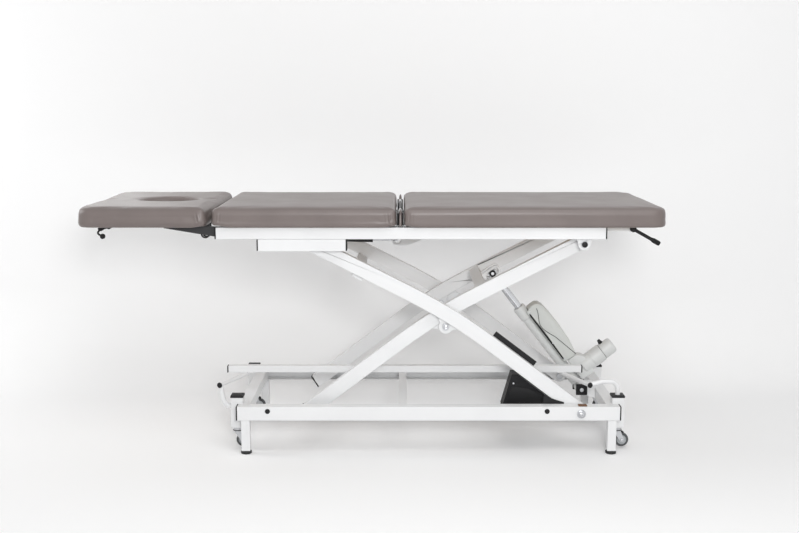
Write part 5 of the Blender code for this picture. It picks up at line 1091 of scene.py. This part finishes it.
def make_actuator():
    """The tube with its eye, the shell with its panels and black strips of painted shade, the gear case, the
    motor and the pins' rings.
    """
    bm = bmesh.new()
    tube = [(0, 0.026), (0.0170, 0.026), (0.0190, 0.028), (0.0190, 0.330), (0.0205, 0.332), (0.0228, 0.335),
            (0.0228, 0.379), (0.0212, 0.3845), (0.0146, 0.385), (0.0146, 0.300), (0, 0.300)]
    lathe_into(bm, tube, ACTUATOR_FOOT, ACTUATOR_ALONG, 40)
    eye = [(0.0072, -0.0205), (0.0190, -0.0205), (0.0205, -0.0185), (0.0205, 0.0185), (0.0190, 0.0205),
           (0.0072, 0.0205), (0.0072, -0.0205)]
    lathe_into(bm, eye, ACTUATOR_FOOT, (0, 1, 0), 32)
    finished("actuator_tube_piece", bm, grey_cap, "actuator", ("actuator_tube",))

    bm = bmesh.new()
    body = [(0.1185, 0.0238), (0.1170, 0.0560), (0.1215, 0.0625), (0.1320, 0.0670), (0.1800, 0.0765),
            (0.2400, 0.0798), (0.3000, 0.0785), (0.3400, 0.0745), (0.3560, 0.0685), (0.3640, 0.0580),
            (0.3655, 0.0440), (0.3645, 0.0238)]
    cheek = [(0.1215, 0.0118), (0.1195, 0.0300), (0.3600, 0.0300), (0.3585, 0.0150), (0.3520, 0.0118)]
    # Painted shade: a black strip where the shell's edge shades the gap down to the tube
    shaded_gap_strip = [(0.1330, 0.0135), (0.1310, 0.0185), (0.2400, 0.0212), (0.3420, 0.0200), (0.3460, 0.0160),
            (0.3380, 0.0135)]
    wave = [(0.2124, 0.0435), (0.2400, 0.0330), (0.2628, 0.0255), (0.2800, 0.0232), (0.2950, 0.0255),
            (0.3120, 0.0340), (0.3300, 0.0440)]
    panel = [(0.1290, 0.0600), *wave, (0.3480, 0.0500), (0.3530, 0.0570), (0.3460, 0.0640), (0.3300, 0.0690),
             (0.2900, 0.0722), (0.2400, 0.0730), (0.1850, 0.0705), (0.1400, 0.0640)]
    # Painted shade: a thin black line along the panel's lower, wavy edge
    panel_shade_line = [(0.1230, 0.0640), (0.1290, 0.0620), *wave, (0.3470, 0.0500)]
    rounded_plate_into(bm, actuator_outline(body), "Y", -0.0325, 0.0325, 0.007, 0.007, 5)
    for side in SIDES.values():
        rounded_plate_into(bm, actuator_outline(cheek), "Y", *reach_of(side, 0.0236, 0.0322), 0.003, 0.003,
                           4)
        rounded_plate_into(bm, actuator_outline(panel), "Y", *reach_of(side, 0.0320, 0.0342), 0.001, 0.001,
                           3)
    finished("actuator_shell_piece", bm, grey_shell, "actuator", ("actuator_shell",))
    # Painted shade on both sides of the shell: the black strip and the thin black line
    bm = bmesh.new()
    for side in SIDES.values():
        reach = reach_of(side, 0.0310, 0.0328)
        rounded_plate_into(bm, actuator_outline(shaded_gap_strip), "Y", *reach, 0.0004, 0.0004, 2)
        tube_into(bm, smooth_route([on_actuator(t, n, side * 0.0338) for t, n in panel_shade_line], 4), 0.0011, 8)
    finished("shell_slots", bm, black_plastic, "actuator")

    bm = bmesh.new()
    gear = [(0.0225, 0.0240), (0.0225, 0.0720), (0.0300, 0.0840), (0.0880, 0.0840), (0.1000, 0.0780),
            (0.1165, 0.0600),
            (0.1165, 0.0240)]
    rounded_plate_into(bm, actuator_outline(gear), "Y", -0.0255, 0.0255, 0.005, 0.005, 4)
    drum = [(0, 0), (0.0305, 0), (0.0328, 0.003), (0.0328, 0.040), (0.0316, 0.0415), (0.0316, 0.0445),
            (0.0328, 0.046),
            (0.0328, 0.086), (0.0312, 0.0905), (0, 0.0908)]
    lathe_into(bm, drum, on_actuator(MOTOR_AXIS, 0.0545), ACTUATOR_ACROSS, 48)
    finished("actuator_motor_piece", bm, grey_cap, "actuator", ("actuator_motor",))
    bm = bmesh.new()
    cap = [(0, 0), (0.0290, 0), (0.0302, 0.0015), (0.0302, 0.037), (0.0290, 0.043), (0.0250, 0.0472),
           (0.0170, 0.0488),
           (0, 0.0492)]
    lathe_into(bm, cap, on_actuator(MOTOR_AXIS, 0.1463), ACTUATOR_ACROSS, 48)
    finished("motor_cap", bm, grey_cap, "actuator")

    bm = bmesh.new()
    seam = [(0, 0), (0.0290, 0), (0.0290, 0.0012), (0, 0.0012)]
    lathe_into(bm, seam, on_actuator(MOTOR_AXIS, 0.1452), ACTUATOR_ACROSS, 48)
    gland = [(0, 0), (0.0080, 0), (0.0080, 0.0065), (0.0062, 0.0090), (0.0058, 0.0150), (0.0048, 0.0160),
             (0, 0.0160)]
    lathe_into(bm, gland, on_actuator(MOTOR_AXIS + 0.0290, 0.1600), ACTUATOR_ALONG, 24)
    finished("motor_seal_and_gland", bm, black_plastic, "actuator")

    bm = bmesh.new()
    ring = [(0.0066, 0), (0.0118, 0), (0.0126, 0.0012), (0.0126, 0.0032), (0.0115, 0.0042), (0.0066, 0.0042),
            (0.0066, 0)]
    for side in SIDES.values():
        lathe_into(bm, ring, (ACTUATOR_EYE.x, side * 0.0330, ACTUATOR_EYE.z), (0, side, 0), 32)
    finished("eye_pin_clips", bm, black_plastic, "actuator_rod")
    bm = bmesh.new()
    for side in SIDES.values():
        low_y, high_y = reach_of(side, 0.0382, 0.0440)
        box_into(bm, (ACTUATOR_FOOT.x - 0.021, low_y, ACTUATOR_FOOT.z - 0.020),
                 (ACTUATOR_FOOT.x + 0.021, high_y, ACTUATOR_FOOT.z + 0.022), 0.0025, 3)
    finished("foot_pin_blocks", bm, black_plastic, "base")


make_actuator()


# Castors, feet and levers

def make_castor_details(side, end):
    """Tyre, hub, swivel seal with its brake tab, and axle heads of one castor."""
    corner = f"{side}_{end}"
    low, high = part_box("castor_wheel_" + corner)
    fork_low, fork_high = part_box("castor_fork_" + corner)
    middle = (low + high) / 2
    radius = (high.z - low.z) / 2
    half = (high.y - low.y) / 2
    bm = bmesh.new()
    tyre = [(0.66, -0.80), (0.86, -0.84), (0.955, -0.66), (0.995, -0.30), (1.0, 0.0), (0.995, 0.30),
            (0.955, 0.66), (0.86, 0.84), (0.66, 0.80), (0.66, -0.80)]
    lathe_into(bm, [(r * radius, d * half) for r, d in tyre], middle, (0, 1, 0), 48)
    finished("tyre_" + corner, bm, tyre_rubber, "wheel_" + corner, ("castor_wheel_" + corner,))
    bm = bmesh.new()
    hub = [(0.20, -0.98), (0.30, -0.98), (0.34, -0.72), (0.56, -0.55), (0.62, -0.74), (0.662, -0.74),
           (0.662, 0.74),
           (0.62, 0.74), (0.56, 0.55), (0.34, 0.72), (0.30, 0.98), (0.20, 0.98), (0.20, -0.98)]
    lathe_into(bm, [(r * radius, d * half) for r, d in hub], middle, (0, 1, 0), 40)
    finished("hub_" + corner, bm, hub_plastic, "wheel_" + corner)
    x = POSTS_X[end]
    y = SIDES[side] * POST_Y
    crown = fork_high.z
    bm = bmesh.new()
    seal = [(0.0168, -0.0022), (0.0182, -0.0022), (0.0186, -0.0012), (0.0186, -0.0002), (0.0168, -0.0002),
            (0.0168, -0.0022)]
    lathe_into(bm, seal, (x, y, crown), (0, 0, 1), 32)
    tab = Matrix.Rotation(math.radians(28), 4, "Y")
    box_into(bm, (x + 0.011, y - 0.007, crown - 0.0105),
             (x + 0.026, y + 0.007, crown - 0.0060), 0.0012, 2, tab)
    finished("castor_seal_" + corner, bm, black_plastic, "castor_" + corner)
    spots = []
    for way, face in ((-1, fork_low.y), (1, fork_high.y)):
        spots.append(((middle.x, face, middle.z), (0, way, 0), (1, 0, 0)))
    repeated("axle_heads_" + corner, SCREWS, spots, zinc, "castor_" + corner, 0.0052)


def make_foot(side, end):
    """A low rubber foot on a threaded stem, and the sleeve that carries the leg down to it."""
    low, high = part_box(f"foot_{side}_{end}")
    middle = (low + high) / 2
    radius = (high.x - low.x) / 2
    profile = [(0, 0), (0.90, 0), (0.98, 0.0010), (1.0, 0.0035), (0.99, 0.0070), (0.94, 0.0092),
               (0.84, 0.0102),
               (0.40, 0.0104), (0.40, 0.0195), (0, 0.0195)]
    bm = bmesh.new()
    lathe_into(bm, [(r * radius, low.z + d) for r, d in profile], (middle.x, middle.y, 0), (0, 0, 1), 40)
    finished(f"foot_{side}_{end}_piece", bm, foot_rubber, "base", (f"foot_{side}_{end}",))
    bm = bmesh.new()
    box_into(bm, (middle.x - 0.015, middle.y - 0.015, low.z + 0.0112),
             (middle.x + 0.015, middle.y + 0.015, high.z + 0.001), 0.0012)
    finished(f"leg_end_{side}_{end}", bm, white_coat, "base")


for side in SIDES:
    for end in ENDS:
        make_castor_details(side, end)
        make_foot(side, end)


def make_levers():
    """The foot-end lever with its ribbed grip, and the ball on the head-end lever."""
    start = Vector(MAIN_LEVER[0])
    tip = Vector(MAIN_LEVER[1])
    along = (tip - start).normalized()
    length = (tip - start).length
    bm = bmesh.new()
    clamp = [(0, -0.010), (0.0088, -0.010), (0.0104, -0.0085), (0.0104, 0.0085), (0.0088, 0.010), (0, 0.010)]
    lathe_into(bm, clamp, start, (0, 1, 0), 32)
    bar = [(0, 0), (0.0058, 0), (0.0058, length * 0.66), (0.0068, length * 0.70), (0.0080, length * 0.74),
           (0.0082, length * 0.95), (0.0070, length * 0.99), (0, length)]
    lathe_into(bm, bar, start, along, 24)
    finished("main_lever_piece", bm, black_plastic, "main_lever", ("main_release_lever",))
    spots = []
    for i in range(7):
        spots.append((tuple(start + along * length * (0.755 + 0.03 * i)), tuple(along), (0, 1, 0)))
    repeated("main_lever_ribs", RIBS, spots, black_plastic, "main_lever", 0.0084)
    base = Vector(HEAD_LEVER)
    bm = bmesh.new()
    bends = ((-0.020, -0.006), (-0.036, -0.014), (-0.041, -0.024), (-0.030, -0.033))
    tube_into(bm, smooth_route([base + Vector((x, 0, z)) for x, z in bends], 6), 0.0034, 14)
    ball = [(0.0095 * math.sin(math.pi * i / 14), -0.0095 * math.cos(math.pi * i / 14)) for i in range(15)]
    lathe_into(bm, ball, base + Vector((-0.0255, 0, -0.0345)), (0, 0, 1), 28)
    finished("head_lever_ball", bm, black_plastic, "head_lever")


make_levers()


# Screws, welds and guard relief

def on_both_sides(x, y, z):
    """Spots that face outwards on the near and on the far side, at a distance y from the middle."""
    return [((x, side * y, z), (0, side, 0), (1, 0, 0)) for side in SIDES.values()]


def make_screws():
    """Heads of the screws in the shell, the pivots, the foot pin and the head board."""
    spots = []
    for side in SIDES.values():
        for pair in ((0.1330, 0.0200), (0.3480, 0.0205), (0.2050, 0.0210)):
            spots.append((tuple(on_actuator(*pair, side * 0.0321)), (0, side, 0), (1, 0, 0)))
    repeated("shell_screws", SCREWS, spots, zinc, "actuator", 0.0030)
    spots = on_both_sides(FIXED_PIVOT_X, abs(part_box("lower_pivot_bolt_near")[0].y), LOWER_PIVOT_Z)
    repeated("lower_pivot_heads", SCREWS, spots, steel, "base", 0.0085)
    spots = on_both_sides(SCISSOR_CENTRE.x, abs(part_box("centre_bolt_near")[0].y), SCISSOR_CENTRE.z)
    repeated("centre_bolt_heads", SCREWS, spots, steel, "outer_arms", 0.0078)
    spots = on_both_sides(ACTUATOR_FOOT.x, 0.0440, ACTUATOR_FOOT.z)
    repeated("foot_pin_heads", SCREWS, spots, zinc, "base", 0.0075)
    spots = []
    for side in SIDES.values():
        for x in (-0.640, -0.690):
            spots.append(((x, side * 0.232, PAD_BOTTOM - GAP), (0, 0, -1), (1, 0, 0)))
    repeated("head_board_screws", SCREWS, spots, zinc, "head", 0.0048)


def weld_line(start, end, facing, pitch=0.0042):
    """Spots for a row of weld ripples."""
    start = Vector(start)
    end = Vector(end)
    count = max(2, int((end - start).length / pitch))
    way = (end - start).normalized()
    return [(tuple(start.lerp(end, i / (count - 1))), facing, tuple(way)) for i in range(count)]


def make_welds():
    """Welds where the end beams meet the base rails and the slanted tubes meet the foot bar."""
    spots = []
    inner = RAIL_OUTER - RAIL_WIDTH
    for x in (BASE_RAIL[0] + 0.020, BASE_RAIL[1] - 0.020):
        for side in SIDES.values():
            y = side * inner
            for way in (-1, 1):
                edge = x + way * 0.020
                spots += weld_line((edge, y, 0.128), (edge, y, 0.164), (way, 0, 0))
            spots += weld_line((x - 0.018, y, 0.1662), (x + 0.018, y, 0.1662), (0, 0, 1))
    repeated("base_welds", WELDS, spots, white_coat, "base", 1.0)
    spots = []
    y = FOOT_BAR_Y - 0.0125
    z = FOOT_TIP_Z + 0.007
    for x in (FOOT_BAR[0] + 0.075, FOOT_BAR[1] - 0.075):
        spots += weld_line((x - 0.010, y, z), (x + 0.010, y, z), (0, -1, 0))
    repeated("foot_bar_welds", WELDS, spots, white_coat, "castor_lift", 1.0)


def make_guard_relief():
    """The pressed panel, the lip before the arm and two rivets on the near face of the lower guard."""
    y = GUARD_FACE_Y
    bm = bmesh.new()
    panel = [(0.470, 0.139), (0.650, 0.139), (0.640, 0.163), (0.600, 0.186), (0.5487, 0.2050),
             (0.4960, 0.2130),
             (0.4880, 0.1900)]
    rounded_plate_into(bm, panel, "Y", y - 0.0016, y + 0.0010, 0.0010, 0.0002, 3)
    lip = [(0.592, 0.155), (0.6700, 0.155), (0.6700, 0.1767), (0.6441, 0.1840), (0.6157, 0.1945),
           (0.6000, 0.2020)]
    rounded_plate_into(bm, lip, "Y", -0.2592, -0.2574, 0.0006, 0.0006, 3)
    finished("guard_panel", bm, black_plastic, "base")
    spots = [((x, y - GAP, z), (0, -1, 0), (1, 0, 0)) for x, z in ((0.5000, 0.2230), (0.6480, 0.1530))]
    repeated("guard_rivets", SCREWS, spots, zinc, "base", 0.0036)


make_screws()
make_welds()
make_guard_relief()


# Camera, light and floor

def seen_ray(tree):
    """1 for rays that show the background: straight to the camera, in a reflection or through glass."""
    path = tree.nodes.new("ShaderNodeLightPath")
    either = math_in(tree, "MAXIMUM", path.outputs["Is Camera Ray"], path.outputs["Is Glossy Ray"])
    return math_in(tree, "MAXIMUM", either, path.outputs["Is Transmission Ray"])


def make_paper():
    """Matt paper, white where it is seen, and clear from its back."""
    paper = bpy.data.materials.new("sweep_paper")
    paper.use_nodes = True
    tree = paper.node_tree
    link = tree.links.new
    shader = tree.nodes["Principled BSDF"]
    set_inputs(shader, {"Roughness": 0.9, "Specular IOR Level": 0.1})
    tone = tree.nodes.new("ShaderNodeMix")
    tone.data_type = "RGBA"
    tone.inputs["A"].default_value = PAPER
    tone.inputs["B"].default_value = PAPER_SEEN
    side = tree.nodes.new("ShaderNodeNewGeometry")
    clear = tree.nodes.new("ShaderNodeBsdfTransparent")
    front = tree.nodes.new("ShaderNodeMixShader")
    link(seen_ray(tree), tone.inputs["Factor"])
    link(tone.outputs["Result"], shader.inputs["Base Color"])
    link(side.outputs["Backfacing"], front.inputs["Fac"])
    link(shader.outputs["BSDF"], front.inputs[1])
    link(clear.outputs["BSDF"], front.inputs[2])
    link(front.outputs["Shader"], tree.nodes["Material Output"].inputs["Surface"])
    return paper


def make_stage():
    """A paper sweep with its wall close behind the table, which takes soft shadows, and a floor behind it."""
    paper = make_paper()
    bend = WALL_Y - SWEEP_RADIUS
    profile = [(-PAPER_REACH, 0.0), (bend, 0.0)]
    for degrees in range(5, 91, 5):
        angle = math.radians(degrees)
        profile.append((bend + SWEEP_RADIUS * math.sin(angle), SWEEP_RADIUS * (1 - math.cos(angle))))
    profile.append((WALL_Y, WALL_TOP))
    bm = bmesh.new()
    left = [bm.verts.new((-PAPER_REACH, y, z)) for y, z in profile]
    right = [bm.verts.new((PAPER_REACH, y, z)) for y, z in profile]
    for i in range(len(profile) - 1):
        bm.faces.new((left[i], right[i], right[i + 1], left[i + 1]))
    sweep = loose("paper_sweep", bm)
    sweep.data.shade_smooth()
    sweep.data.materials.append(paper)
    bm = bmesh.new()
    corners = ((-PAPER_REACH, bend), (PAPER_REACH, bend),
               (PAPER_REACH, PAPER_REACH), (-PAPER_REACH, PAPER_REACH))
    bm.faces.new([bm.verts.new((x, y, -0.0005)) for x, y in corners])
    behind = loose("paper_behind", bm)
    behind.data.materials.append(paper)


def make_world():
    """Even light from all round, which shows as white."""
    world = bpy.data.worlds.new("studio")
    world.use_nodes = True
    tree = world.node_tree
    lit = tree.nodes["Background"]
    white = tree.nodes.new("ShaderNodeBackground")
    set_inputs(lit, {"Color": (1, 1, 1, 1), "Strength": WORLD_LEVEL})
    set_inputs(white, {"Color": (1, 1, 1, 1), "Strength": 1.0})
    chosen = tree.nodes.new("ShaderNodeMixShader")
    tree.links.new(seen_ray(tree), chosen.inputs["Fac"])
    tree.links.new(lit.outputs["Background"], chosen.inputs[1])
    tree.links.new(white.outputs["Background"], chosen.inputs[2])
    tree.links.new(chosen.outputs["Shader"], tree.nodes["World Output"].inputs["Surface"])
    return world


def make_camera_and_light():
    """The photograph's camera, the world and the softboxes."""
    scene = bpy.context.scene
    scene.view_settings.view_transform = "Standard"
    camera = bpy.data.cameras.new("photo_camera")
    camera.sensor_width = SENSOR_WIDTH
    camera.lens = FOCAL_PIXELS * SENSOR_WIDTH / PHOTO_WIDTH
    scene.camera = placed("photo_camera", camera)
    scene.camera.location = CAMERA_PLACE
    scene.camera.rotation_euler = (math.radians(90 - CAMERA_DROP), 0, 0)
    scene.world = make_world()
    for name, place, target, size, watts, spread in LAMPS:
        lamp = bpy.data.lights.new(name, "AREA")
        lamp.shape = "SQUARE"
        lamp.size = size
        lamp.energy = watts
        lamp.spread = math.radians(spread)
        light = placed(name, lamp)
        light.location = place
        light.visible_camera = False
        light.rotation_euler = (Vector(target) - Vector(place)).to_track_quat("-Z", "Y").to_euler()


make_stage()
make_camera_and_light()
